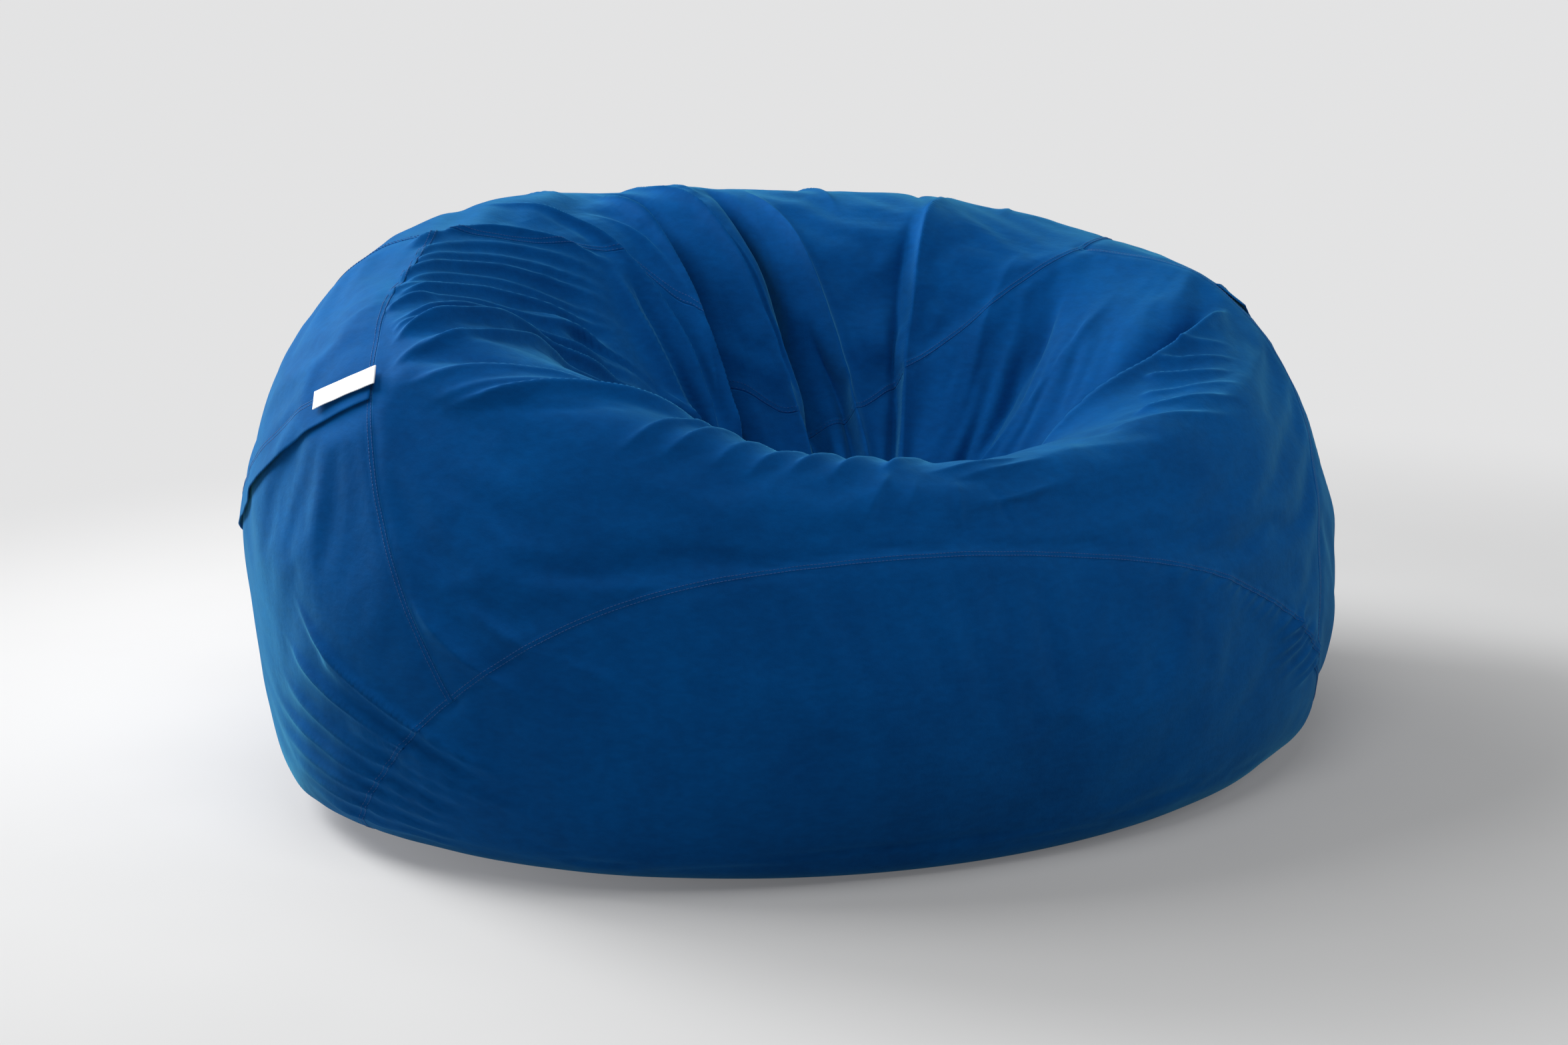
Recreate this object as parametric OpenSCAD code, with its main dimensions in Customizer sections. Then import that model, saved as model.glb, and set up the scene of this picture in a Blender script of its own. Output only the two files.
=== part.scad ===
// Round bean bag chair: a panelled cover with a zip behind it, a liner with a
// zip of its own, and a loose foam filling. +Z is up, -Y is the low front rim,
// and the origin is the middle of the footprint, on the floor.

/* [Bag] */
// Overall width, left to right
bag_w = 1566; // [1500:1:1620]
// Overall depth, front to back
bag_d = 1212; // [1160:1:1260]
// Overall height of the highest part of the rim
bag_h = 732; // [690:1:780]

/* [Cover] */
// Thickness of the cover cloth
cover_t = 2.5; // [1.5:0.1:3]
// Share of a panel's reach that is left free beside each seam
seam_share = 0.004; // [0.002:0.001:0.008]
// Width of the flap that hides the zip
flap_w = 42; // [34:1:50]
// Thickness of the flap, two layers of cloth
flap_t = 1.6; // [1:0.1:2.5]
// Clear space between the zip's line and the inside of the flap
flap_clear = 2; // [1.8:0.1:4]

/* [Cover zip] */
// Radius of the arc that the zip runs along
zip_r = 848; // [840:1:856]
// Lean of the arc's axis from upright, towards the back
zip_lean = 28; // [26:1:30]
// Angle by which the zip's upper edge leans in, off the arc's axis
zip_splay = 16.5; // [14:0.5:19]
// Half of the angle that the zip covers, either side of the middle of the back
zip_half = 52; // [40:1:54]
// Width of one tape
tape_w = 16; // [12:1:18]
// Thickness of a tape
tape_t = 0.8; // [0.5:0.1:0.8]
// Width of one row of teeth
teeth_w = 3.4; // [3:0.1:3.6]
// Thickness of a row of teeth
teeth_t = 1.5; // [1:0.1:1.5]
// Slit between the two rows of teeth
teeth_slit = 1.2; // [1.2:0.1:1.6]
// Length of the slider along the zip
slider_l = 16; // [12:1:20]

/* [Label] */
// Length of the label along the seam
label_w = 100; // [80:1:110]
// Drop of the label below the seam
label_h = 27; // [20:1:30]
// Thickness of the folded label
label_t = 1.4; // [1:0.1:2]

/* [Liner and filling] */
// Depth of the liner's outer face below the cover's
liner_in = 9; // [9:0.5:11]
// Thickness of the liner cloth
liner_t = 1.2; // [0.8:0.1:1.5]
// Depth of the filling's face below the cover's outer face
fill_in = 17; // [17:0.5:24]
// Length of the liner's zip
liner_zip_l = 700; // [500:10:760]

/* [Hidden] */

COVER = [0.04, 0.26, 0.52];
LINER = [0.90, 0.90, 0.88];
TRIM = [0.05, 0.20, 0.42];

// The bag is a ball pushed out of shape. A point of the ball is a direction:
// theta is its angle round +Z, and phi its angle from the bottom, 0, to the
// middle of the seat hollow, 180. Each station gives the ring at one phi.
// phi, half width, half depth, y of middle, height, lift at back, lift at sides
STATIONS = [
    [0, 0, 0, -52, 0, 0, 0],
    [22, 360, 300, -62, 0, 0, 0],
    [40, 605, 490, -52, 0, 0, 0],
    [56, 737, 575, -19, 60, 2, -16],
    [78, 780, 602, 1, 243, 0, -7],
    [98, 770, 565, 25, 430, 28, -7],
    [112, 702, 498, 25, 565, 70, -7],
    [124, 604, 419, 8, 607, 104, 14],
    [136, 475, 330, -21, 580, 100, 24],
    [148, 346, 249, -52, 483, 76, 21],
    [160, 226, 174, -82, 373, 36, 15],
    [170, 126, 99, -102, 303, 6, 5],
    [180, 0, 0, -112, 280, 0, 0]
];
// Only the ring's two half sizes keep a slope at the poles
POLE_SLOPES = [1, 1, 0, 0, 0, 0];
// Stretch of the nominal bag to the driving sizes
STRETCH = [bag_w / 1566, bag_d / 1212, bag_h / 732];
// Soft lifts of the rim: theta, lift
CREST_LIFTS = [[120, 36], [75, 14], [-105, -22], [-150, 60]];
CREST_PHI = 118;
CREST_SPREAD = [38, 28];

// Front base panel: a round cloth, as an angle about its middle direction
BASE_THETA = -102.4;
BASE_PHI = 46;
BASE_REACH = 50.4;
// Back top panel: its reach for each bearing about its middle direction
TOP_THETA = 78;
TOP_PHI = 119;
TOP_REACH = [
    [0, 50], [30, 52], [48, 45], [66, 40], [90, 38.5], [115, 32.5], [135, 32.6], [152, 52],
    [165, 61], [185, 58], [215, 46], [250, 36], [290, 36], [325, 44], [360, 50]
];
// Bearings of the left and right side seams on the two round panels
BASE_LEFT = 157.4;
BASE_RIGHT = 3.5;
TOP_LEFT = 152.4;
TOP_RIGHT = 31.9;
// Middle points that the left and right side seams bend towards
LEFT_PULL = [-1.5, -0.4, 0.96];
RIGHT_PULL = [1.13, -1.25, 0.06];

FRONT_COLUMNS = 26;
REAR_COLUMNS = 40;
BASE_RINGS = 6;
TOP_RINGS = 10;
FRONT_ROWS = 14;
REAR_LOWER_ROWS = 20;
REAR_UPPER_ROWS = 7;
LINER_SIDES = 48;

// The cover's zip: a true arc about a leaning axis
ZIP_MIDDLE = [0, -151, 567];
ZIP_AXIS = [0, sin(zip_lean), cos(zip_lean)];
ZIP_BACK = [0, cos(zip_lean), -sin(zip_lean)];
// Past these angles the closure line climbs above the zip's plane, this high at
// the side seams
CLOSURE_FROM = 62;
CLOSURE_SPAN = 26;
CLOSURE_RISE = 40;
// Half of the gap between the rear panels, along the zip and past its ends
GAP_AT_ZIP = 9;
GAP_SEWN = 2.5;
// It narrows over these angles past the zip's ends
GAP_TAPER = [1, 6];
// Depths below the zip's arc
TAPE_IN = 3.6;
TEETH_IN = 2;
SLIDER_TOP_IN = 0.1;
SLIDER_BASE_IN = 4.7;
PLATE_T = 1.6;
BASE_PLATE_T = 1.5;
SLIDER_HALF_W = 6;
WEB_T = 0.6;
LIP_T = 1.2;
JOIN = 0.4;
STOP_STANDS = 0.6;
STOP_SHARE = 0.9;
STOP_ANGLE = 0.4;
SLIDER_ANGLE = slider_l / zip_r * 180 / PI;

// The label's hinge line: its middle, its direction, and the way out of the cloth
LABEL_POS = [-698, -63, 588];
LABEL_ALONG = unit([0.52, -0.75, 0.41]);
LABEL_OUT = unit(cross(cross(LABEL_ALONG, [-0.78, -0.21, 0.59]), LABEL_ALONG));
LABEL_UP = cross(LABEL_OUT, LABEL_ALONG);

function clamp01(t) = min(1, max(0, t));
function ease(t) = let (c = clamp01(t)) c * c * (3 - 2 * c);
function fade(x, full, gone) = 1 - ease((x - full) / (gone - full));
function unit(v) = v / norm(v);
function mix(a, b, t) = a * (1 - t) + b * t;
function direction(theta, phi) = [sin(phi) * cos(theta), sin(phi) * sin(theta), -cos(phi)];
function turn_between(a, b) = (a - b + 540) % 360 - 180;

// Smooth curve through the rows of a table whose first column is the place
function places(table) = [for (row = table) row[0]];
function values(table) = [for (row = table) [for (j = [1:len(row) - 1]) row[j]]];
function slopes(x, v) = [
    for (i = [0:len(x) - 1])
        let (lo = max(i - 1, 0), hi = min(i + 1, len(x) - 1)) (v[hi] - v[lo]) / (x[hi] - x[lo])
];
function span_at(x, at, i = 0) = i >= len(x) - 2 || at < x[i + 1] ? i : span_at(x, at, i + 1);
function curve(x, v, m, at) = let (
    i = span_at(x, at), h = x[i + 1] - x[i], t = clamp01((at - x[i]) / h), t2 = t * t, t3 = t2 * t
) (2 * t3 - 3 * t2 + 1) * v[i] + (t3 - 2 * t2 + t) * h * m[i]
    + (3 * t2 - 2 * t3) * v[i + 1] + (t3 - t2) * h * m[i + 1];

STATION_X = places(STATIONS);
STATION_V = values(STATIONS);
STATION_RAW = slopes(STATION_X, STATION_V);
STATION_M = [
    for (i = [0:len(STATION_X) - 1])
        i > 0 && i < len(STATION_X) - 1 ? STATION_RAW[i]
        : [for (j = [0:5]) STATION_RAW[i][j] * POLE_SLOPES[j]]
];
REACH_X = places(TOP_REACH);
REACH_V = values(TOP_REACH);
REACH_M = slopes(REACH_X, REACH_V);

function crest_lift(theta, phi) = let (
    parts = [
        for (c = CREST_LIFTS) c[1] * exp(
            -pow(turn_between(theta, c[0]) / CREST_SPREAD[0], 2)
            - pow((phi - CREST_PHI) / CREST_SPREAD[1], 2))
    ]
) parts * [for (c = CREST_LIFTS) 1];

// The ball pushed out to the rings, before the zip is seated
function loose_bag(u) = let (
    theta = atan2(u.y, u.x), phi = acos(max(-1, min(1, -u.z))),
    ring = curve(STATION_X, STATION_V, STATION_M, phi),
    z = ring[3] + ring[4] * sin(theta) + ring[5] * cos(2 * theta) + crest_lift(theta, phi)
) [ring[0] * cos(theta) * STRETCH.x, (ring[2] + ring[1] * sin(theta)) * STRETCH.y, max(0, z) * STRETCH.z];

// A place beside the zip: height along its axis, angle from the back, radius
function zip_height(p) = (p - ZIP_MIDDLE) * ZIP_AXIS;
function zip_angle(p) = atan2(p.x, (p - ZIP_MIDDLE) * ZIP_BACK);
function zip_spoke(p) = let (q = p - ZIP_MIDDLE) q - (q * ZIP_AXIS) * ZIP_AXIS;

// Near the zip the cover lies on a cone about the zip's axis. It lets go over
// these distances up along the axis and outwards, and angles past the zip's ends
HOLD_UP = [24, 120];
HOLD_OUT = [40, 90];
HOLD_PAST = [2, 16];
function bag(u) = let (
    p = loose_bag(u), spoke = zip_spoke(p), h = zip_height(p),
    out = zip_r - tan(zip_splay) * h - norm(spoke),
    hold = fade(abs(h), HOLD_UP[0], HOLD_UP[1]) * fade(abs(out), HOLD_OUT[0], HOLD_OUT[1])
        * fade(abs(zip_angle(p)), zip_half + HOLD_PAST[0], zip_half + HOLD_PAST[1])
) p + unit(spoke) * out * hold;

// A point of the bag with the way out of the cloth there
NUDGE = 0.004;
function seat(u) = let (
    a = unit(cross(abs(u.z) < 0.9 ? [0, 0, 1] : [1, 0, 0], u)), b = cross(u, a), p = bag(u),
    pa = bag(unit(u + NUDGE * a)), pb = bag(unit(u + NUDGE * b))
) [p, unit(cross(pa - p, pb - p))];

// Edge curves of the panels, as directions
BASE_MIDDLE = direction(BASE_THETA, BASE_PHI);
BASE_ACROSS = unit([-BASE_MIDDLE.y, BASE_MIDDLE.x, 0]);
BASE_UP = cross(BASE_MIDDLE, BASE_ACROSS);
TOP_MIDDLE = direction(TOP_THETA, TOP_PHI);
TOP_ACROSS = unit([TOP_MIDDLE.y, -TOP_MIDDLE.x, 0]);
TOP_UP = cross(TOP_ACROSS, TOP_MIDDLE);
function base_point(bearing, share = 1) = let (r = BASE_REACH * share)
    cos(r) * BASE_MIDDLE + sin(r) * (cos(bearing) * BASE_ACROSS + sin(bearing) * BASE_UP);
function top_point(bearing, share = 1) = let (
    r = curve(REACH_X, REACH_V, REACH_M, (bearing + 720) % 360)[0] * share
) cos(r) * TOP_MIDDLE + sin(r) * (cos(bearing) * TOP_ACROSS + sin(bearing) * TOP_UP);
function bend(a, pull, b, t) = unit((1 - t) * (1 - t) * a + 2 * t * (1 - t) * pull + t * t * b);
function left_seam(t) = bend(base_point(BASE_LEFT), LEFT_PULL, top_point(TOP_LEFT), t);
function right_seam(t) = bend(base_point(BASE_RIGHT), RIGHT_PULL, top_point(TOP_RIGHT), t);

// Bearings on the round panels of a column of the front or rear band
function front_base_bearing(s) = mix(BASE_LEFT, BASE_RIGHT, s);
function front_top_bearing(s) = mix(TOP_LEFT, TOP_RIGHT, s);
function rear_base_bearing(s) = mix(BASE_RIGHT, BASE_LEFT - 360, s);
function rear_top_bearing(s) = mix(TOP_RIGHT, TOP_LEFT - 360, s);

// Direction at share t of the way up column s, bent to follow the side seams
function patch(low, high, s, t, seam_0, low_0, high_0, seam_1, low_1, high_1) =
    unit(mix(low, high, t) + pow(1 - s, 3) * (seam_0 - mix(low_0, high_0, t))
        + pow(s, 3) * (seam_1 - mix(low_1, high_1, t)));
function front_band(s, t) = patch(
    base_point(front_base_bearing(s)), top_point(front_top_bearing(s)), s, t,
    left_seam(t), left_seam(0), left_seam(1), right_seam(t), right_seam(0), right_seam(1));
function rear_band(s, t) = patch(
    base_point(rear_base_bearing(s)), top_point(rear_top_bearing(s)), s, t,
    right_seam(t), right_seam(0), right_seam(1), left_seam(t), left_seam(0), left_seam(1));

// Height of a point above the closure line, and where a column crosses a height
function above_closure(p) =
    zip_height(p) - CLOSURE_RISE * ease((abs(zip_angle(p)) - CLOSURE_FROM) / CLOSURE_SPAN);
HALVINGS = 14;
function crossing(s, level, lo = 0.02, hi = 0.98, n = HALVINGS) = let (t = (lo + hi) / 2)
    n == 0 ? t : above_closure(bag(rear_band(s, t))) < level ? crossing(s, level, t, hi, n - 1)
    : crossing(s, level, lo, t, n - 1);
function half_gap(s) = let (angle = abs(zip_angle(bag(rear_band(s, crossing(s, 0))))))
    mix(GAP_SEWN, GAP_AT_ZIP, fade(angle, zip_half + GAP_TAPER[0], zip_half + GAP_TAPER[1]));

// Columns stop a little short of the side seams
function inset(i, n) = mix(seam_share / 3, 1 - seam_share / 3, i / n);
FRONT_S = [for (i = [0:FRONT_COLUMNS]) inset(i, FRONT_COLUMNS)];
REAR_S = [for (i = [0:REAR_COLUMNS]) inset(i, REAR_COLUMNS)];

// Closed cloth over a grid of directions, between two depths below the bag
module cloth(grid, outer, inner) {
    rows = len(grid);
    cols = len(grid[0]);
    size = rows * cols;
    seats = [for (row = grid) for (u = row) seat(u)];
    rim = concat(
        [for (j = [0:cols - 2]) [j, j + 1]],
        [for (i = [0:rows - 2]) [i * cols + cols - 1, (i + 1) * cols + cols - 1]],
        [for (j = [cols - 1:-1:1]) [(rows - 1) * cols + j, (rows - 1) * cols + j - 1]],
        [for (i = [rows - 1:-1:1]) [i * cols, (i - 1) * cols]]
    );
    polyhedron(
        points = concat([for (s = seats) s[0] - outer * s[1]], [for (s = seats) s[0] - inner * s[1]]),
        faces = concat(
            [for (i = [0:rows - 2]) for (j = [0:cols - 2]) let (a = i * cols + j)
                each [[a, a + cols, a + cols + 1], [a, a + cols + 1, a + 1]]],
            [for (i = [0:rows - 2]) for (j = [0:cols - 2]) let (a = size + i * cols + j)
                each [[a, a + cols + 1, a + cols], [a, a + 1, a + cols + 1]]],
            [for (e = rim) each [[e[0], e[1], size + e[1]], [e[0], size + e[1], size + e[0]]]]
        )
    );
}

// Closed round cloth: rings of directions about a middle one. The rings run
// anticlockwise seen from outside.
module round_cloth(middle, rings, outer, inner) {
    cols = len(rings[0]);
    count = len(rings);
    seats = concat([seat(middle)], [for (ring = rings) for (u = ring) seat(u)]);
    size = len(seats);
    last = 1 + (count - 1) * cols;
    function at(i, j) = 1 + i * cols + j % cols;
    function sheet(shift, flip) = [
        for (j = [0:cols - 1]) flip ? [shift, shift + at(0, j), shift + at(0, j + 1)]
            : [shift, shift + at(0, j + 1), shift + at(0, j)],
        for (i = [0:count - 2]) for (j = [0:cols - 1])
            let (a = shift + at(i, j), b = shift + at(i, j + 1), c = shift + at(i + 1, j + 1), d = shift + at(i + 1, j))
            each (flip ? [[a, d, c], [a, c, b]] : [[a, c, d], [a, b, c]])
    ];
    polyhedron(
        points = concat([for (s = seats) s[0] - outer * s[1]], [for (s = seats) s[0] - inner * s[1]]),
        faces = concat(
            sheet(0, false), sheet(size, true),
            [for (j = [0:cols - 1]) let (a = last + j, b = last + (j + 1) % cols)
                each [[a, b, size + b], [a, size + b, size + a]]]
        )
    );
}

// Bearings round a whole panel: the front band's columns, then the rear's
BASE_BEARINGS = [
    for (i = [0:FRONT_COLUMNS - 1]) front_base_bearing(i / FRONT_COLUMNS),
    for (i = [0:REAR_COLUMNS - 1]) rear_base_bearing(i / REAR_COLUMNS)
];
TOP_BEARINGS = [
    for (i = [0:FRONT_COLUMNS - 1]) front_top_bearing(i / FRONT_COLUMNS),
    for (i = [0:REAR_COLUMNS - 1]) rear_top_bearing(i / REAR_COLUMNS)
];

module front_base_panel() {
    color(COVER) round_cloth(BASE_MIDDLE, [
        for (k = [1:BASE_RINGS]) [
            for (j = [len(BASE_BEARINGS) - 1:-1:0])
                base_point(BASE_BEARINGS[j], k / BASE_RINGS * (1 - seam_share))
        ]
    ], 0, cover_t);
}

module back_top_panel() {
    color(COVER) round_cloth(TOP_MIDDLE, [
        for (k = [1:TOP_RINGS]) [
            for (bearing = TOP_BEARINGS) top_point(bearing, k / TOP_RINGS * (1 - seam_share))
        ]
    ], 0, cover_t);
}

module front_band_panel() {
    color(COVER) cloth([
        for (i = [0:FRONT_ROWS]) [for (s = FRONT_S) front_band(s, inset(i, FRONT_ROWS))]
    ], 0, cover_t);
}

module rear_lower_panel() {
    tops = [for (s = REAR_S) crossing(s, -half_gap(s))];
    color(COVER) cloth([
        for (i = [0:REAR_LOWER_ROWS]) [
            for (j = [0:REAR_COLUMNS]) rear_band(REAR_S[j], mix(seam_share, tops[j], i / REAR_LOWER_ROWS))
        ]
    ], 0, cover_t);
}

module rear_upper_panel() {
    feet = [for (s = REAR_S) crossing(s, half_gap(s))];
    color(COVER) cloth([
        for (i = [0:REAR_UPPER_ROWS]) [
            for (j = [0:REAR_COLUMNS]) rear_band(REAR_S[j], mix(feet[j], 1 - seam_share, i / REAR_UPPER_ROWS))
        ]
    ], 0, cover_t);
}

// The flap is sewn on above the closure line and hangs over it
module zip_flap() {
    color(TRIM) cloth([
        for (level = [-flap_w / 2, 0, flap_w / 2]) [for (s = REAR_S) rear_band(s, crossing(s, level))]
    ], -flap_clear - flap_t, -flap_clear);
}

// A point of the zip's section, so deep below the cover and so far up along it
function zip_section(deep, up) = [
    zip_r - deep * cos(zip_splay) - up * sin(zip_splay), up * cos(zip_splay) - deep * sin(zip_splay)
];

// Ring sector about the zip's axis: between two depths below the cover and two
// distances up along it, over angles counted from the right-hand side
module zip_sector(in0, in1, up0, up1, a0, a1) {
    translate(ZIP_MIDDLE)
        rotate([-zip_lean, 0, 0])
            rotate([0, 0, a0])
                rotate_extrude(angle = a1 - a0, $fn = 360)
                    polygon([
                        zip_section(in1, up0), zip_section(in0, up0), zip_section(in0, up1), zip_section(in1, up1)
                    ]);
}

ZIP_FROM = 90 - zip_half;
ZIP_TO = 90 + zip_half;

module zip_tape(side) {
    edges = side > 0 ? [teeth_slit / 2, tape_w] : [-tape_w, -teeth_slit / 2];
    color(TRIM) zip_sector(TAPE_IN, TAPE_IN + tape_t, edges[0], edges[1], ZIP_FROM, ZIP_TO);
}

module zip_teeth(side) {
    edges = side > 0 ? [teeth_slit / 2, teeth_slit / 2 + teeth_w] : [-teeth_slit / 2 - teeth_w, -teeth_slit / 2];
    color(TRIM) zip_sector(TEETH_IN, TEETH_IN + teeth_t, edges[0], edges[1],
        ZIP_FROM + STOP_ANGLE, ZIP_TO - STOP_ANGLE);
}

// Two plates joined by a web that runs in the slit between the rows of teeth,
// with a lip down each side of the top plate
module zip_slider() {
    from = ZIP_FROM + STOP_ANGLE;
    to = from + SLIDER_ANGLE;
    lip = SLIDER_TOP_IN + PLATE_T;
    color("silver") union() {
        zip_sector(SLIDER_TOP_IN, lip, -SLIDER_HALF_W, SLIDER_HALF_W, from, to);
        zip_sector(SLIDER_BASE_IN, SLIDER_BASE_IN + BASE_PLATE_T, -SLIDER_HALF_W, SLIDER_HALF_W, from, to);
        zip_sector(lip - JOIN, SLIDER_BASE_IN + JOIN, -WEB_T / 2, WEB_T / 2, from, to);
        for (edge = [-SLIDER_HALF_W, SLIDER_HALF_W - LIP_T])
            zip_sector(lip - JOIN, TAPE_IN - JOIN, edge, edge + LIP_T, from, to);
    }
}

module zip_stops() {
    reach = teeth_slit / 2 + teeth_w;
    turn = STOP_ANGLE * STOP_SHARE;
    color("silver") for (from = [ZIP_FROM, ZIP_TO - turn])
        zip_sector(TEETH_IN - STOP_STANDS, TEETH_IN + teeth_t, -reach, reach, from, from + turn);
}

// A folded, blank label that swings on its sewn top edge
module seam_label() {
    along = LABEL_ALONG;
    out = LABEL_OUT;
    up = LABEL_UP;
    color("white") translate(LABEL_POS)
        multmatrix([[along.x, -out.x, up.x, 0], [along.y, -out.y, up.y, 0], [along.z, -out.z, up.z, 0]])
            translate([-label_w / 2, -label_t, -label_h]) cube([label_w, label_t, label_h]);
}

// A care label sewn in below the zip, lying between the cover and the liner.
// Levels below the closure line, shares of the way round the rear, and depths
CARE_LEVELS = [-85, -55, -26];
CARE_COLUMNS = [0.70, 0.712, 0.724];
CARE_IN = 5.2;
CARE_T = 0.6;
module care_label() {
    color("white") cloth([
        for (level = CARE_LEVELS) [for (s = CARE_COLUMNS) rear_band(s, crossing(s, level))]
    ], CARE_IN, CARE_IN + CARE_T);
}

// Ring of directions at one phi
function ring_at(phi) = [for (j = [0:LINER_SIDES - 1]) direction(j * 360 / LINER_SIDES, phi)];
LINER_FROM = 44;
LINER_RINGS = 23;
// The flat base ends inside the shell, on the ring at this phi
LINER_BASE_PHI = 39;
LINER_BASE_X = 560;
BASE_ZIP_Y = -52;
SEAM_CLEAR = 12;
END_CLEAR = 4;

module liner_shell() {
    color(LINER) round_cloth(direction(0, 180), [
        for (k = [1:LINER_RINGS]) ring_at(180 - k * (180 - LINER_FROM) / LINER_RINGS)
    ], liner_in, liner_in + liner_t);
}

// Half of the liner's flat base, cut back along its zip. side is 1 for the back.
module liner_base(side) {
    rim = [
        for (u = ring_at(LINER_BASE_PHI)) let (p = loose_bag(u))
            if (side * (p.y - BASE_ZIP_Y) > SEAM_CLEAR) [p.x, p.y]
    ];
    x = side * (liner_zip_l / 2 + END_CLEAR);
    near = BASE_ZIP_Y + side * GAP_SEWN;
    far = BASE_ZIP_Y + side * GAP_AT_ZIP;
    side_x = side * LINER_BASE_X * STRETCH.x;
    outline = concat(rim, [[-side_x, near], [-x, near], [-x, far], [x, far], [x, near], [side_x, near]]);
    color(LINER) translate([0, 0, liner_in]) linear_extrude(liner_t) polygon(outline);
}

// Straight bar of the liner's zip: heights z0 to z1, from y0 to y1 off its line
module liner_bar(z0, z1, y0, y1, x0, x1) {
    translate([x0, BASE_ZIP_Y + y0, z0]) cube([x1 - x0, y1 - y0, z1 - z0]);
}
SLACK = 0.3;
LINER_TAPE_Z = liner_in + liner_t + SLACK;
LINER_TEETH_Z = LINER_TAPE_Z - teeth_t - 0.1;
LINER_STOP = 5;
LINER_STOP_L = 4.5;

module liner_zip_tape(side) {
    edge = side > 0 ? teeth_slit / 2 : -tape_w;
    color(LINER) liner_bar(LINER_TAPE_Z, LINER_TAPE_Z + tape_t, edge, edge + tape_w - teeth_slit / 2,
        -liner_zip_l / 2, liner_zip_l / 2);
}

module liner_zip_teeth(side) {
    edge = side > 0 ? teeth_slit / 2 : -teeth_slit / 2 - teeth_w;
    color(LINER) liner_bar(LINER_TEETH_Z, LINER_TEETH_Z + teeth_t, edge, edge + teeth_w,
        LINER_STOP - liner_zip_l / 2, liner_zip_l / 2 - LINER_STOP);
}

module liner_zip_slider() {
    x0 = LINER_STOP - liner_zip_l / 2;
    x1 = x0 + slider_l;
    foot = LINER_TEETH_Z - SLACK;
    top = LINER_TAPE_Z + tape_t + SLACK;
    color("silver") union() {
        liner_bar(foot - PLATE_T, foot, -SLIDER_HALF_W, SLIDER_HALF_W, x0, x1);
        liner_bar(top, top + BASE_PLATE_T, -SLIDER_HALF_W, SLIDER_HALF_W, x0, x1);
        liner_bar(foot - JOIN, top + JOIN, -WEB_T / 2, WEB_T / 2, x0, x1);
    }
}

module liner_zip_stops() {
    reach = teeth_slit / 2 + teeth_w;
    color("silver") for (x = [-liner_zip_l / 2, liner_zip_l / 2 - LINER_STOP_L])
        liner_bar(LINER_TEETH_Z - STOP_STANDS, LINER_TEETH_Z + teeth_t, -reach, reach, x, x + LINER_STOP_L);
}

// The filling, one body of loose foam pieces, closed over the whole bag
FILL_RINGS = 26;
module foam_filling() {
    phis = [for (k = [1:FILL_RINGS - 1]) k * 180 / FILL_RINGS];
    seats = [for (phi = phis) for (u = ring_at(phi)) seat(u)];
    low = seat(direction(0, 0));
    high = seat(direction(0, 180));
    n = LINER_SIDES;
    last = len(seats) - n;
    color("lightyellow") polyhedron(
        points = concat([for (s = seats) s[0] - fill_in * s[1]],
            [low[0] - fill_in * low[1], high[0] - fill_in * high[1]]),
        faces = concat(
            [for (i = [0:len(phis) - 2]) for (j = [0:n - 1])
                let (a = i * n + j, b = i * n + (j + 1) % n)
                each [[a, a + n, b + n], [a, b + n, b]]],
            [for (j = [0:n - 1]) [len(seats), j, (j + 1) % n]],
            [for (j = [0:n - 1]) [len(seats) + 1, last + (j + 1) % n, last + j]]
        )
    );
}

front_base_panel();
back_top_panel();
front_band_panel();
rear_lower_panel();
rear_upper_panel();
zip_flap();
zip_tape(1);  // zip_tape_upper
zip_tape(-1);  // zip_tape_lower
zip_teeth(1);  // zip_teeth_upper
zip_teeth(-1);  // zip_teeth_lower
zip_slider();
zip_stops();
seam_label();
care_label();
liner_shell();
liner_base(-1);  // liner_base_front
liner_base(1);  // liner_base_back
liner_zip_tape(-1);  // liner_zip_tape_front
liner_zip_tape(1);  // liner_zip_tape_back
liner_zip_teeth(-1);  // liner_zip_teeth_front
liner_zip_teeth(1);  // liner_zip_teeth_back
liner_zip_slider();
liner_zip_stops();
foam_filling();
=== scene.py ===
"""The looks of the round bean bag chair: cover panels with their folds, seams and
topstitching, the zip and its flap, the label, the liner and the filling.

Everything is in metres in the shared frame: +Z up, -Y the low front rim, and the
origin in the middle of the footprint. The bag is the same pushed-out ball as in
part.scad, so each panel here lies on its CAD node, and the folds stand on that.
"""

import math

import bpy
import numpy as np
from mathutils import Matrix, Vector


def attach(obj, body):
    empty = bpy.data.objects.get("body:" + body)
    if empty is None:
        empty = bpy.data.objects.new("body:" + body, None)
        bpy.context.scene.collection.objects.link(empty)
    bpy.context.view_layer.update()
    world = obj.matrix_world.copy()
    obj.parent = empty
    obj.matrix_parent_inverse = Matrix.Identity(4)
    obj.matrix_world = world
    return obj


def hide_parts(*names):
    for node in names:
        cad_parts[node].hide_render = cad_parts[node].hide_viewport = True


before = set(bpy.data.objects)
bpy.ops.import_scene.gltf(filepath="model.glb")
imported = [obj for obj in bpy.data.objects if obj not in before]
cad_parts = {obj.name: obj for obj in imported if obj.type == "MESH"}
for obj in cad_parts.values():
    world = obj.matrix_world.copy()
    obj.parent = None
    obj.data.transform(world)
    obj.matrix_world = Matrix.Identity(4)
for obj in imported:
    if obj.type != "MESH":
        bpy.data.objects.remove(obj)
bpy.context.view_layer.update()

# ----------------------------------------------------------------- the bag's shape

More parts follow.
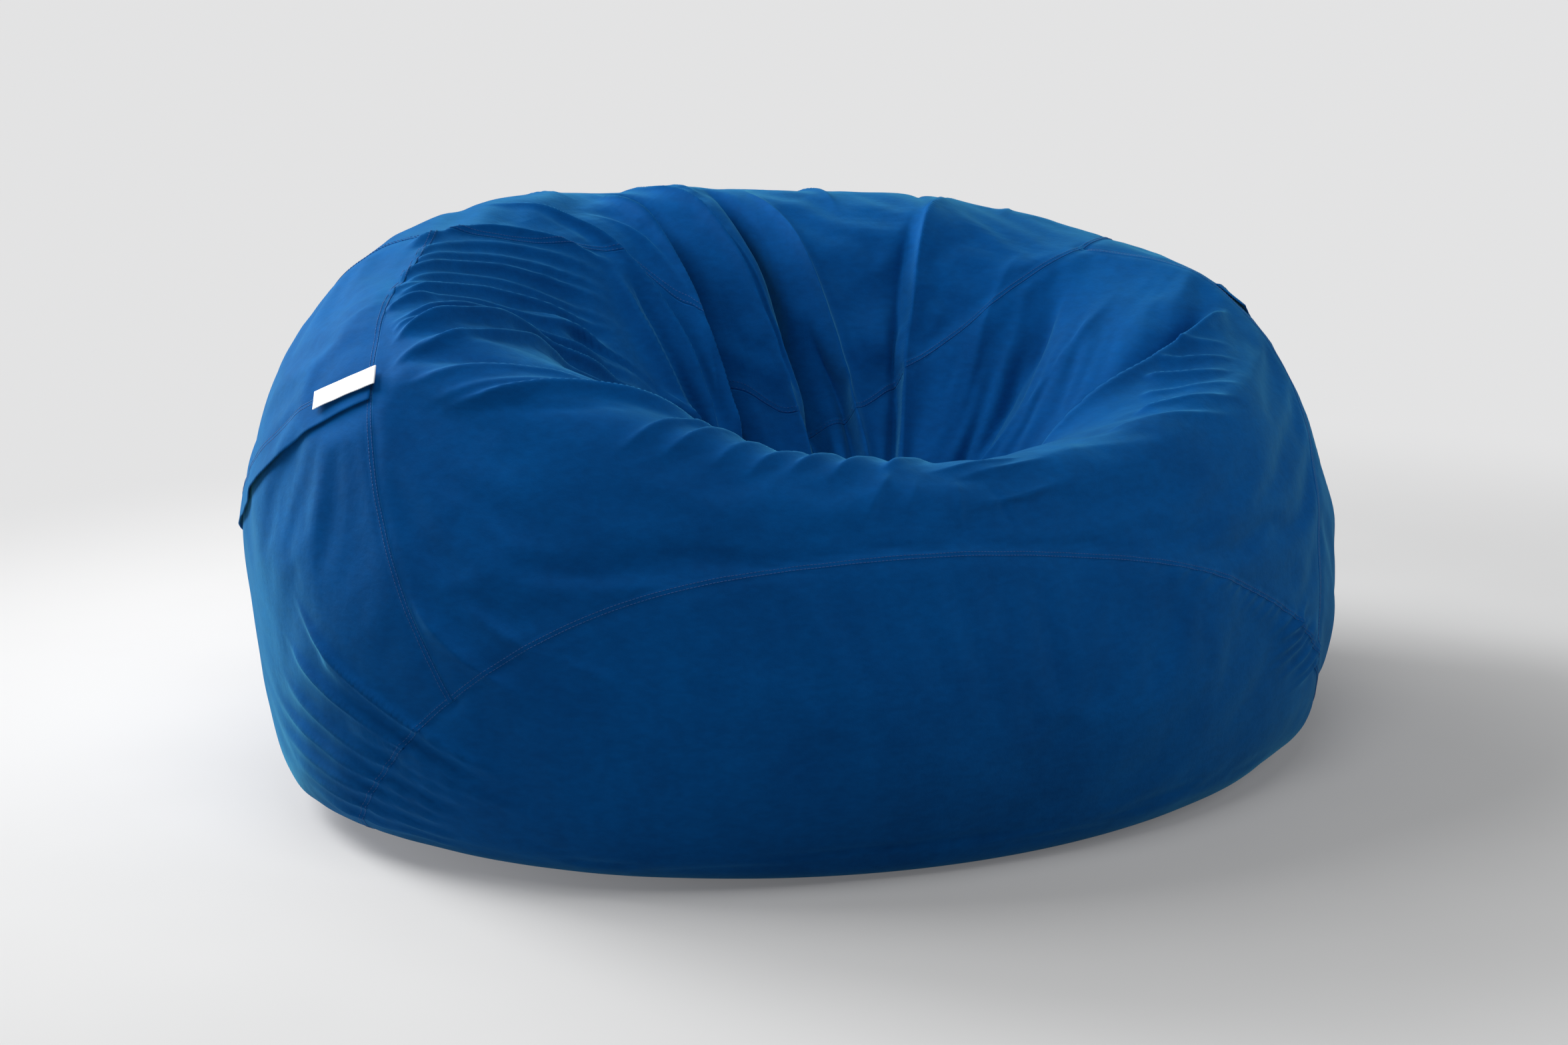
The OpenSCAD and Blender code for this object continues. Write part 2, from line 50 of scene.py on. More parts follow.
# The rings that part.scad has too: a fit to the photo's outline, rounded.
# phi, half width, half depth, y of middle, height, lift at back, lift at sides
STATIONS = [
    [0, 0, 0, -0.052, 0, 0, 0],
    [22, 0.360, 0.300, -0.062, 0, 0, 0],
    [40, 0.605, 0.490, -0.052, 0, 0, 0],
    [56, 0.737, 0.575, -0.019, 0.060, 0.002, -0.016],
    [78, 0.780, 0.602, 0.001, 0.243, 0, -0.007],
    [98, 0.770, 0.565, 0.025, 0.430, 0.028, -0.007],
    [112, 0.702, 0.498, 0.025, 0.565, 0.070, -0.007],
    [124, 0.604, 0.419, 0.008, 0.607, 0.104, 0.014],
    [136, 0.475, 0.330, -0.021, 0.580, 0.100, 0.024],
    [148, 0.346, 0.249, -0.052, 0.483, 0.076, 0.021],
    [160, 0.226, 0.174, -0.082, 0.373, 0.036, 0.015],
    [170, 0.126, 0.099, -0.102, 0.303, 0.006, 0.005],
    [180, 0, 0, -0.112, 0.280, 0, 0],
]
SIZES_WITH_POLE_SLOPE = 2
# theta and height of each soft lift of the rim, and how far they spread
CREST_LIFTS = [(120, 0.036), (75, 0.014), (-105, -0.022), (-150, 0.060)]
CREST_PHI = 118
CREST_SPREAD = (38, 28)

# The arc of the zip, and how the cover is held to a cone beside it
ZIP_MIDDLE = np.array([0, -0.151, 0.567])
ZIP_LEAN = math.radians(28)
ZIP_AXIS = np.array([0, math.sin(ZIP_LEAN), math.cos(ZIP_LEAN)])
ZIP_BACK = np.array([0, math.cos(ZIP_LEAN), -math.sin(ZIP_LEAN)])
ZIP_RADIUS = 0.848
ZIP_SPLAY = math.tan(math.radians(16.5))
ZIP_HALF = 52
HOLD_UP = (0.024, 0.120)
HOLD_OUT = (0.040, 0.090)
HOLD_PAST = (2, 16)

# The round panels and the bearings of the two side seams on them
BASE_THETA, BASE_PHI, BASE_REACH = -102.4, 46, 50.4
TOP_THETA, TOP_PHI = 78, 119
TOP_REACH = [
    (0, 50), (30, 52), (48, 45), (66, 40), (90, 38.5), (115, 32.5), (135, 32.6), (152, 52),
    (165, 61), (185, 58), (215, 46), (250, 36), (290, 36), (325, 44), (360, 50),
]
BASE_LEFT, BASE_RIGHT = 157.4, 3.5
TOP_LEFT, TOP_RIGHT = 152.4, 31.9
LEFT_PULL = np.array([-1.5, -0.4, 0.96])
RIGHT_PULL = np.array([1.13, -1.25, 0.06])
CLOSURE_FROM, CLOSURE_SPAN, CLOSURE_RISE = 62, 26, 0.040

# The label's hinge line: its middle, its direction and the way out of the cloth
LABEL_POS = np.array([-0.698, -0.063, 0.588])
LABEL_ALONG = np.array([0.52, -0.75, 0.41])
LABEL_FACE = np.array([-0.78, -0.21, 0.59])


def unit(v):
    return v / np.maximum(np.linalg.norm(v, axis=-1, keepdims=True), 1e-12)


def dot(a, b):
    return (a * b).sum(-1)


def mix(a, b, t):
    return a * (1 - t) + b * t


def ease(t):
    t = np.clip(t, 0, 1)
    return t * t * (3 - 2 * t)


def fade(x, full, gone):
    return 1 - ease((x - full) / (gone - full))


def direction(theta, phi):
    theta, phi = np.radians(theta), np.radians(phi)
    return np.stack([np.sin(phi) * np.cos(theta), np.sin(phi) * np.sin(theta), -np.cos(phi)], -1)


class Curve:
    """A smooth curve through the rows of a table whose first column is the place."""

    def __init__(self, table, flat_ends_from=None):
        table = np.array(table, float)
        self.x, self.v = table[:, 0], table[:, 1:]
        x, v = self.x, self.v
        low = np.maximum(np.arange(len(x)) - 1, 0)
        high = np.minimum(np.arange(len(x)) + 1, len(x) - 1)
        self.m = (v[high] - v[low]) / (x[high] - x[low])[:, None]
        if flat_ends_from is not None:
            self.m[[0, -1], flat_ends_from:] = 0

    def __call__(self, at):
        at = np.asarray(at, float)
        i = np.clip(np.searchsorted(self.x, at, side="right") - 1, 0, len(self.x) - 2)
        h = (self.x[i + 1] - self.x[i])[..., None]
        t = np.clip((at - self.x[i])[..., None] / h, 0, 1)
        t2, t3 = t * t, t * t * t
        return (
            (2 * t3 - 3 * t2 + 1) * self.v[i] + (t3 - 2 * t2 + t) * h * self.m[i]
            + (3 * t2 - 2 * t3) * self.v[i + 1] + (t3 - t2) * h * self.m[i + 1]
        )


rings = Curve(STATIONS, SIZES_WITH_POLE_SLOPE)
top_reach = Curve(TOP_REACH)


def angles(u):
    theta = np.degrees(np.arctan2(u[..., 1], u[..., 0]))
    return theta, np.degrees(np.arccos(np.clip(-u[..., 2], -1, 1)))


def turn_between(a, b):
    return (a - b + 540) % 360 - 180


def loose_bag(u):
    theta, phi = angles(u)
    ring, t = rings(phi), np.radians(theta)
    z = ring[..., 3] + ring[..., 4] * np.sin(t) + ring[..., 5] * np.cos(2 * t)
    for at, lift in CREST_LIFTS:
        away = (turn_between(theta, at) / CREST_SPREAD[0]) ** 2 + ((phi - CREST_PHI) / CREST_SPREAD[1]) ** 2
        z = z + lift * np.exp(-away)
    x, y = ring[..., 0] * np.cos(t), ring[..., 2] + ring[..., 1] * np.sin(t)
    return np.stack([x, y, np.maximum(z, 0)], -1)


def beside_zip(p):
    """Height along the zip's axis, spoke from the axis, and angle from the back."""
    q = p - ZIP_MIDDLE
    height = q @ ZIP_AXIS
    spoke = q - height[..., None] * ZIP_AXIS
    return height, spoke, np.degrees(np.arctan2(p[..., 0], q @ ZIP_BACK))


def bag(u):
    p = loose_bag(u)
    height, spoke, angle = beside_zip(p)
    out = ZIP_RADIUS - ZIP_SPLAY * height - np.linalg.norm(spoke, axis=-1)
    hold = fade(np.abs(height), *HOLD_UP) * fade(np.abs(out), *HOLD_OUT)
    hold = hold * fade(np.abs(angle), ZIP_HALF + HOLD_PAST[0], ZIP_HALF + HOLD_PAST[1])
    return p + unit(spoke) * (out * hold)[..., None]


NUDGE = 0.004


def two_ways(u):
    """Two directions at right angles to each direction and to each other."""
    aside = np.where(np.abs(u[..., 2:]) < 0.9, np.array([0, 0, 1.0]), np.array([1.0, 0, 0]))
    a = unit(np.cross(aside, u))
    return a, np.cross(u, a)


def seat(u):
    """Points of the smooth bag and the way out of the cloth there."""
    a, b = two_ways(u)
    p = bag(u)
    return p, unit(np.cross(bag(unit(u + NUDGE * a)) - p, bag(unit(u + NUDGE * b)) - p))


# ------------------------------------------------------------- the panels' outlines

base_middle = direction(BASE_THETA, BASE_PHI)
base_across = unit(np.array([-base_middle[1], base_middle[0], 0]))
base_up = np.cross(base_middle, base_across)
top_middle = direction(TOP_THETA, TOP_PHI)
top_across = unit(np.array([top_middle[1], -top_middle[0], 0]))
top_up = np.cross(top_across, top_middle)


def on_cap(bearing, reach, middle, across, up):
    b, r = np.radians(bearing)[..., None], np.radians(reach)[..., None]
    return np.cos(r) * middle + np.sin(r) * (np.cos(b) * across + np.sin(b) * up)


def base_point(bearing, share=1.0):
    bearing = np.asarray(bearing, float)
    return on_cap(bearing, BASE_REACH * share + 0 * bearing, base_middle, base_across, base_up)


def top_point(bearing, share=1.0):
    bearing = np.asarray(bearing, float)
    return on_cap(bearing, top_reach(bearing % 360)[..., 0] * share, top_middle, top_across, top_up)


def bend(a, pull, b, t):
    t = np.asarray(t, float)[..., None]
    return unit((1 - t) ** 2 * a + 2 * t * (1 - t) * pull + t * t * b)


def left_seam(t):
    return bend(base_point(BASE_LEFT), LEFT_PULL, top_point(TOP_LEFT), t)


def right_seam(t):
    return bend(base_point(BASE_RIGHT), RIGHT_PULL, top_point(TOP_RIGHT), t)


def past_straight(seam, t):
    return seam(t) - mix(seam(0.0), seam(1.0), t[..., None])


def band(s, t, base_ends, top_ends, seams):
    """Directions a share t of the way up columns s, bent to follow both side seams."""
    s, t = np.broadcast_arrays(np.asarray(s, float), np.asarray(t, float))
    return unit(
        mix(base_point(mix(*base_ends, s)), top_point(mix(*top_ends, s)), t[..., None])
        + (1 - s[..., None]) ** 3 * past_straight(seams[0], t)
        + s[..., None] ** 3 * past_straight(seams[1], t)
    )


def front_band(s, t):
    return band(s, t, (BASE_LEFT, BASE_RIGHT), (TOP_LEFT, TOP_RIGHT), (left_seam, right_seam))


def rear_band(s, t):
    base_ends, top_ends = (BASE_RIGHT, BASE_LEFT - 360), (TOP_RIGHT, TOP_LEFT - 360)
    return band(s, t, base_ends, top_ends, (right_seam, left_seam))


def above_closure(p):
    height, _, angle = beside_zip(p)
    return height - CLOSURE_RISE * ease((np.abs(angle) - CLOSURE_FROM) / CLOSURE_SPAN)


def crossing(s, level, halvings=16):
    """Share of the way up each rear column at which it is level above the closure."""
    low, high = np.full(len(s), 0.02), np.full(len(s), 0.98)
    for _ in range(halvings):
        middle = (low + high) / 2
        under = above_closure(bag(rear_band(s, middle))) < level
        low, high = np.where(under, middle, low), np.where(under, high, middle)
    return (low + high) / 2


# ------------------------------------------------------------------------ the folds


def smooth_line(points, parts=10):
    """More points along a line of directions, as a Catmull-Rom curve."""
    p = np.vstack([2 * points[0] - points[1], points, 2 * points[-1] - points[-2]])
    t = np.linspace(0, 1, parts, endpoint=False)[:, None]
    runs = [
        0.5 * (2 * b + (c - a) * t + (2 * a - 5 * b + 4 * c - d) * t**2 + (3 * b - a - 3 * c + d) * t**3)
        for a, b, c, d in zip(p, p[1:], p[2:], p[3:])
    ]
    return unit(np.vstack([*runs, points[-1:]]))


class Line:
    """A line on the bag that points can be measured from."""

    def __init__(self, directions):
        self.points, self.normals = seat(directions)
        steps = np.linalg.norm(np.diff(self.points, axis=0), axis=1)
        self.along = np.concatenate([[0], np.cumsum(steps)])
        self.length = self.along[-1]
        ahead = unit(np.gradient(self.points, axis=0))
        self.side = unit(np.cross(self.normals, ahead))

    def near(self, points, within):
        low, high = self.points.min(0) - within, self.points.max(0) + within
        return np.flatnonzero(((points > low) & (points < high)).all(1))

    def measure(self, points):
        """Share of the way along, distance across (to the line's left), and its side."""
        k = ((points[:, None] - self.points[None]) ** 2).sum(-1).argmin(1)
        best = np.full(len(points), np.inf)
        place, foot = np.zeros(len(points)), self.points[k].copy()
        for a in (np.maximum(k - 1, 0), np.minimum(k, len(self.points) - 2)):
            step = self.points[a + 1] - self.points[a]
            t = np.clip(dot(points - self.points[a], step) / np.maximum(dot(step, step), 1e-12), 0, 1)
            at = self.points[a] + t[:, None] * step
            far = np.linalg.norm(points - at, axis=1)
            closer = far < best
            best = np.where(closer, far, best)
            place = np.where(closer, mix(self.along[a], self.along[a + 1], t), place)
            foot = np.where(closer[:, None], at, foot)
        side = self.side[k]
        sign = np.where(dot(points - foot, side) < 0, -1.0, 1.0)
        return place / self.length, best * sign, side


class Fold:
    """A ridge of the cloth, or a groove if height is below 0.

    crest is how round its top is, left and right are its widths on each side of the
    line, lean pushes the top over to the left, and ends are the shares of its length
    over which it rises and dies away.
    """

    def __init__(self, line, width, height, crest=0.004, right=1.0, lean=0.0, ends=(0.3, 0.3)):
        self.line = Line(smooth_line(direction(*np.array(line, float).T)))
        self.width, self.height, self.crest = width, height, crest
        self.right, self.lean, self.ends = right, lean, ends

    def push(self, points, normals):
        reach = 3.2 * self.width * max(1, self.right)
        near = self.line.near(points, reach)
        place, across, side = self.line.measure(points[near])
        x = across / np.where(across < 0, self.width * self.right, self.width)
        c = self.crest / self.width
        rise = np.exp(-1.5 * (np.sqrt(x * x + c * c) - c)) * fade(np.abs(x), 1.8, 3.2)
        rise = rise * ease(place / self.ends[0]) * ease((1 - place) / self.ends[1])
        return near, rise[:, None] * (self.height * normals[near] + self.lean * side)


rng = np.random.default_rng(11)


def fold(start, pull, end, width, height, crest=0.002, right=1.5, ends=(0.3, 0.15)):
    """A fold from start to end, drawn towards pull, all three as (theta, phi) places on the bag."""
    start, pull, end, t = (np.array(v, float) for v in (start, pull, end, np.linspace(0, 1, 7)[:, None]))
    line = (1 - t) ** 2 * start + 2 * t * (1 - t) * pull + t * t * end
    return Fold(line, width, height, crest, right, ends=ends)


def fan(starts, pulls, ends_at, width, heights, stray=1.0, **shape):
    """Folds side by side, one for each height.

    starts, pulls and ends_at each give the places of the first fold, the middle one and the
    last. stray is how many degrees a place may be off its row.
    """
    made = []
    for t, height in zip(np.linspace(0, 2, len(heights)), heights):
        places = [
            [np.interp(t, (0, 1, 2), part) + stray * rng.uniform(-1, 1) for part in zip(*row)]
            for row in (starts, pulls, ends_at)
        ]
        made.append(fold(*places, width * rng.uniform(0.8, 1.2), height, **shape))
    return made


AT_SEAM, SOFT_END = (0.15, 0.35), (0.15, 0.6)
# The left arm: long folds that fan out from the side seam and meet in the hollow, the
# ones that go over the shoulder, and the pleats between and behind them.
ARM_FOLDS = [
    *fan(
        [(152, 126), (176, 126), (198, 114)], [(132, 131), (152, 138), (208, 143)],
        [(111, 140), (121, 147), (130, 154)], 0.009,
        [0.013, 0.008, 0.012, 0.015, 0.009, 0.015, 0.010, 0.016, 0.026, 0.015], ends=AT_SEAM,
    ),
    *fan(
        [(199, 112), (203, 110), (206, 110)], [(208, 116), (214, 116), (221, 117)],
        [(218, 132), (223, 130), (231, 140)], 0.0095, [0.009, 0.006, 0.017], 0.6, ends=(0.25, 0.35),
    ),
    *fan(
        [(162, 138), (157, 141), (150, 143)], [(134, 144), (132, 146), (130, 148)],
        [(116, 158), (119, 157), (122, 154)], 0.007, [0.012, -0.014], 0.5,
    ),
    *fan(
        [(159, 127), (180, 125), (197, 114)], [(153, 128), (175, 129), (199, 120)],
        [(146, 130), (168, 132), (196, 128)], 0.0055, [0.005, 0.005, 0.006, 0.006, 0.006, 0.005],
        ends=SOFT_END,
    ),
    *fan(
        [(159, 127), (170, 126), (180, 124)], [(161, 123), (171, 122), (180, 120)],
        [(163, 117), (171, 117), (178, 114)], 0.006, [0.004, 0.003, 0.004, 0.003], ends=SOFT_END,
    ),
]
# Behind the hollow: deep folds that drop from the rim to the bottom of the seat.
BACK_FOLDS = [
    fold((124, 122), (100, 140), (114, 160), 0.009, 0.018),
    fold((109, 129), (97, 142), (108, 156), 0.008, 0.012),
    fold((114, 137), (115, 148), (122, 162), 0.009, 0.017),
    fold((111, 139), (112, 149), (116, 160), 0.008, -0.016),
    fold((102, 120), (98, 141), (106, 162), 0.009, 0.030),
    fold((99, 123), (91, 144), (100, 168), 0.016, -0.060, 0.005, 1, (0.2, 0.06)),
    fold((95, 118), (88, 142), (76, 168), 0.011, 0.032, 0.002, 1.2, (0.25, 0.08)),
    fold((89, 129), (84, 145), (70, 165), 0.007, 0.014),
    fold((85, 121), (77, 144), (72, 168), 0.014, -0.050, 0.004, 1, (0.3, 0.06)),
    fold((79, 123), (74, 148), (48, 168), 0.014, 0.028, 0.003, 0.7, (0.3, 0.1)),
    fold((73, 146), (66, 156), (52, 167), 0.012, -0.022, 0.004, 1, (0.3, 0.1)),
    fold((45, 118), (54, 148), (38, 166), 0.028, 0.024, 0.002, 0.22, (0.4, 0.08)),
    fold((50, 131), (54, 148), (42, 166), 0.012, -0.018, 0.003, 1, (0.4, 0.1)),
    *fan(
        [(110, 112), (72, 111), (38, 112)], [(107, 119), (68, 121), (37, 120)],
        [(105, 127), (63, 134), (35, 130)], 0.008, [0.004, 0.005, 0.006, -0.006, 0.004], ends=(0.4, 0.5),
    ),
]
# The right side: broad soft folds down to the hollow, and a ridge with pleats behind it.
RIGHT_FOLDS = [
    fold((25, 135), (30, 144), (23, 154), 0.012, 0.007, 0.003, ends=(0.3, 0.4)),
    fold((12, 136), (2, 152), (18, 168), 0.024, -0.036, 0.008, 1, (0.35, 0.08)),
    fold((0, 133), (-15, 149), (2, 166), 0.022, 0.020, 0.005, 1, (0.4, 0.1)),
    fold((-16, 121), (-38, 136), (-54, 160), 0.022, -0.042, 0.006, 1),
    fold((-18, 119), (-38, 130), (-68, 146), 0.017, 0.026, 0.003, 0.6, (0.2, 0.25)),
    *fan(
        [(-36, 130), (-50, 132), (-72, 120)], [(-36, 126), (-51, 123), (-65, 113)],
        [(-34, 119), (-45, 113), (-54, 107)], 0.008, [0.006, 0.011, 0.010, 0.006, 0.010, 0.006], 0.7,
        ends=SOFT_END,
    ),
]
# The front rim: short creases where it rolls over into the hollow, and fine ones below.
RIM_FOLDS = [
    *fan(
        [(227, 108), (242, 107), (255, 110)], [(233, 115), (245, 115), (259, 117)],
        [(236, 134), (250, 127), (265, 125)], 0.0095, [0.011, 0.012, 0.008, 0.009, 0.010, 0.010, 0.009],
        ends=(0.3, 0.4),
    ),
    *fan(
        [(260, 111), (262, 109), (264, 105)], [(266, 112), (269, 110), (271, 104)],
        [(273, 114), (276, 110), (277, 107)], 0.006, [0.004, 0.004, 0.004], right=0.7, ends=(0.4, 0.4),
    ),
    *fan(
        [(258, 112), (262, 109), (266, 107)], [(255, 106), (261, 105), (268, 103)],
        [(253, 101), (260, 101), (269, 99)], 0.008, [0.006, 0.004, 0.004, -0.003], ends=(0.3, 0.5),
    ),
]
# The lower left corner: fine sharp creases that run down over the seam.
CORNER_FOLDS = [
    *fan(
        [(187, 87), (178, 72), (182, 60)], [(198, 76), (192, 68), (194, 56)],
        [(216, 68), (210, 61), (206, 53)], 0.0072, [0.012, 0.011, 0.008, 0.008, 0.007, 0.006, 0.005],
        crest=0.001,
    ),
    *fan(
        [(206, 90), (212, 89), (222, 84)], [(211, 82), (218, 84), (226, 82)],
        [(221, 77), (224, 82), (229, 79)], 0.011, [0.010, 0.006, 0.004], ends=(0.3, 0.5),
    ),
    *fan(
        [(200, 69), (195, 72), (193, 80)], [(208, 66), (204, 70), (197, 77)],
        [(220, 60), (212, 64), (202, 74)], 0.0075, [0.008, 0.006, 0.004], crest=0.001, ends=(0.2, 0.6),
    ),
]


def gathers(places, slant, reach, width, height, jitter=0.35):
    """Short folds across a seam, one at each (theta, phi) place."""
    made = []
    for theta, phi in places:
        long = reach * (1 + jitter * rng.uniform(-1, 1))
        d_theta, d_phi = long * math.cos(math.radians(slant)), long * math.sin(math.radians(slant))
        scale = 1 + jitter * rng.uniform(-1, 1)
        line = [
            (theta + k * d_theta / math.sin(math.radians(phi)), phi + k * d_phi) for k in (-0.4, 0, 0.5, 1)
        ]
        made.append(Fold(line, width * scale, height * scale, 0.0015, ends=(0.35, 0.6)))
    return made


def along_base(first, last, count):
    """Places along the front base panel's seam, between two bearings."""
    theta, phi = angles(base_point(np.linspace(first, last, count) + rng.uniform(-0.8, 0.8, count)))
    return list(zip(theta, phi))


SEAM_GATHERS = [
    *gathers(along_base(52, 24, 13), 205, 3.6, 0.005, 0.003),
    *gathers(along_base(23, 6, 7), 200, 8.0, 0.009, 0.008),
    *gathers(along_base(20, 8, 3), 35, 4.0, 0.008, 0.005),
    *gathers(along_base(62, 56, 2), 215, 6.0, 0.004, 0.0012),
]
FOLDS = [*ARM_FOLDS, *BACK_FOLDS, *RIGHT_FOLDS, *RIM_FOLDS, *CORNER_FOLDS, *SEAM_GATHERS]

# Soft unevenness of a loosely filled bag: waves of random direction
WAVES = [(0.42, 0.0035, 10), (0.17, 0.0012, 14), (0.06, 0.00035, 18)]


def make_waves():
    out = []
    for length, height, count in WAVES:
        way = unit(rng.normal(size=(count, 3)))
        stretch = 2 * math.pi / (length * rng.uniform(0.7, 1.4, (count, 1)))
        out.append((way * stretch, rng.uniform(0, 2 * math.pi, count), height * math.sqrt(2 / count)))
    return out


waves = make_waves()
settled = None

# ------------------------------------------------------------------------ the seams

PINCH_DEPTH, PINCH_WIDTH = 0.0022, 0.012
FELL_WIDTH, FELL_HEIGHT = 0.0082, 0.0009


class Seam(Line):
    """A felled seam: the cloth pulls in to it, and a sewn strip lies along one side."""

    def __init__(self, directions, fell_side, depth=PINCH_DEPTH):
        super().__init__(directions)
        self.directions, self.fell_side, self.depth = directions, fell_side, depth

    def push(self, points, normals):
        near = self.near(points, 4 * PINCH_WIDTH)
        place, across, _ = self.measure(points[near])
        pull = -self.depth * np.exp(-((across / PINCH_WIDTH) ** 2))
        over = across * self.fell_side
        strip = FELL_HEIGHT * ease(over / 0.001 + 0.5) * fade(over, FELL_WIDTH - 0.0005, FELL_WIDTH + 0.001)
        return near, (pull + strip)[:, None] * normals[near]


share = np.linspace(0, 1, 140)
front_share = np.linspace(BASE_LEFT, BASE_RIGHT, 240)
rear_share = np.linspace(BASE_RIGHT, BASE_LEFT - 360, 240)
SEAMS = [
    Seam(base_point(front_share), 1),
    Seam(base_point(rear_share), 1),
    Seam(top_point(np.linspace(TOP_LEFT, TOP_RIGHT, 260)), 1),
    Seam(top_point(np.linspace(TOP_RIGHT, TOP_LEFT - 360, 300)), 1),
    Seam(left_seam(share), 1),
    Seam(right_seam(share), 1),
]


# Shares of a place's push that stay near the zip and the label, which don't move
ZIP_STAYS = (ZIP_HALF + 2, ZIP_HALF + 16)
ZIP_REACH = (0.08, 0.14)
LABEL_STAYS = (0.055, 0.10)
FLOOR_FREE = 0.05


def free_to_move(points):
    """0 where the cover lies on the floor, by the zip and by the label, and 1 elsewhere."""
    height, spoke, angle = beside_zip(points)
    held = fade(np.abs(height), *HOLD_UP) * fade(np.abs(angle), *ZIP_STAYS)
    held = held * fade(np.abs(ZIP_RADIUS - np.linalg.norm(spoke, axis=1)), *ZIP_REACH)
    from_label = np.linalg.norm(points - LABEL_POS, axis=1)
    return ease(points[:, 2] / FLOOR_FREE) * (1 - np.maximum(held, fade(from_label, *LABEL_STAYS)))


def folded(u):
    """Points and normals of the smooth bag, and how far folds, waves and settling push them."""
    points, normals = seat(u)
    push = np.zeros_like(points)
    for crease in FOLDS:
        near, by = crease.push(points, normals)
        push[near] += by
    for way, phase, height in waves:
        push += normals * (height * np.sin(points @ way.T + phase).sum(1))[:, None]
    if settled is not None:
        push += settled(u)
    return points, normals, push


def dress(u):
    """Points of the folded and sewn cover for an array of directions of any shape."""
    shape = u.shape
    points, normals, push = folded(u.reshape(-1, 3))
    for seam in SEAMS:
        near, by = seam.push(points, normals)
        push[near] += by
    out = points + push * free_to_move(points)[:, None]
    out[:, 2] = np.maximum(out[:, 2], 0)
    return out.reshape(shape)


# ----------------------------------------------------------------------- mesh making


def mesh_object(name, points, faces, material=None):
    mesh = bpy.data.meshes.new(name)
    mesh.from_pydata(points.tolist(), [], faces)
    mesh.polygons.foreach_set("use_smooth", np.ones(len(mesh.polygons), bool))
    mesh.update()
    made = bpy.data.objects.new(name, mesh)
    bpy.context.scene.collection.objects.link(made)
    if material:
        mesh.materials.append(material)
    return made


def grid_faces(rows, cols, wrap=False, start=0):
    i, j = np.meshgrid(np.arange(rows - 1), np.arange(cols if wrap else cols - 1), indexing="ij")
    k = (j + 1) % cols
    quads = np.stack([i * cols + j, i * cols + k, (i + 1) * cols + k, (i + 1) * cols + j], -1)
    return (quads.reshape(-1, 4) + start).tolist()


HEM = 0.004
# Rows of points this far from a seam, close enough together to carry its shape
NEAR_SEAM = np.array((0, 0.0012, 0.0026, 0.0045, 0.0066, 0.0078, 0.0092, 0.012, 0.0155, 0.0195))


def hem(u, wrap=False):
    """The dressed grid with its borders turned in, so that no seam shows a gap."""
    points = dress(u)
    normal = unit(np.cross(np.gradient(points, axis=1), np.gradient(points, axis=0)))
    some_rows = (slice(None, None, 8), slice(None, None, 8))
    if dot(normal[some_rows], seat(u[some_rows])[1]).sum() < 0:
        normal = -normal
    pad = ((1, 1), (0, 0) if wrap else (1, 1), (0, 0))
    out, n = np.pad(points, pad, "edge"), np.pad(normal, pad, "edge")
    edge = np.zeros(out.shape[:2], bool)
    edge[[0, -1]] = True
    if not wrap:
        edge[:, [0, -1]] = True
    out[edge] -= n[edge] * HEM
    return out


def spaced(length, middle_step):
    """Shares of a length: close rows beside the seams at both ends, even between."""
    count = max(2, int((length - 2 * NEAR_SEAM[-1]) / middle_step))
    middle = np.linspace(NEAR_SEAM[-1], length - NEAR_SEAM[-1], count + 1)
    return np.concatenate([NEAR_SEAM[:-1], middle, length - NEAR_SEAM[-2::-1]]) / length


def uneven(parts):
    """Shares with a spacing of their own in each part: (share, count)."""
    out, at = [], 0.0
    for end, count in parts:
        out.append(np.linspace(at, end, count, endpoint=False))
        at = end
    return np.concatenate([*out, [1.0]])


def arc_length(u):
    p = bag(u)
    return np.linalg.norm(np.diff(p, axis=0), axis=-1).sum(0)


def band_grid(band, s, step, low=None, high=None):
    """Directions over a band whose rows start and end at shares low and high."""
    probe = np.linspace(0, 1, 30)[:, None]
    low = np.zeros_like(s) if low is None else low
    high = np.ones_like(s) if high is None else high
    usual = float(np.median(arc_length(band(s[None], mix(low, high, probe)))))
    rows = spaced(usual, step)[:, None]
    return band(s[None], mix(low, high, rows))


def cap_grid(point, bearings, step):
    """Directions over a round panel, from near its middle out to its seam."""
    probe = np.linspace(0, 1, 30)[:, None]
    usual = float(np.median(arc_length(point(bearings[None] + 0 * probe, probe))))
    rows = spaced(2 * usual, step)
    rows = rows[rows >= 0.5] * 2 - 1
    rows = rows[rows > 1.5 * step / usual]
    return point(bearings[None] + 0 * rows[:, None], rows[:, None])


def cap_object(name, u, middle, material):
    points = hem(u, wrap=True)[1:]
    rows, cols = points.shape[:2]
    centre = dress(middle[None])
    faces = grid_faces(rows, cols, wrap=True, start=1)
    faces += [[0, 1 + (j + 1) % cols, 1 + j] for j in range(cols)]
    made = mesh_object(name, np.vstack([centre, points.reshape(-1, 3)]), faces, material)
    face_outward(made)
    return made


def band_object(name, u, material):
    points = hem(u)
    made = mesh_object(name, points.reshape(-1, 3), grid_faces(*points.shape[:2]), material)
    face_outward(made)
    return made


def steps_and_area(u):
    """Lengths down the columns and along the rows of the flat cloth over a grid, and its area."""
    p = bag(u)
    down, across = np.diff(p, axis=0), np.diff(p, axis=1)
    area = np.linalg.norm(np.cross(down[:, :-1], across[:-1]), axis=-1).sum()
    return np.linalg.norm(down, axis=-1).sum(0), np.linalg.norm(across, axis=-1).sum(1), area


def band_cut(u):
    down, across, area = steps_and_area(u)
    return (float(across.max()), float(down.max())), float(area)


def cap_cut(u):
    """The same for a round panel, whose columns run out from its middle."""
    down, _, area = steps_and_area(np.concatenate([u, u[:, :1]], axis=1))
    spans = down[:-1] + np.roll(down[:-1], len(down) // 2)
    return (float(spans.max()), float(np.roll(spans, len(spans) // 4)[spans.argmax()])), float(area)


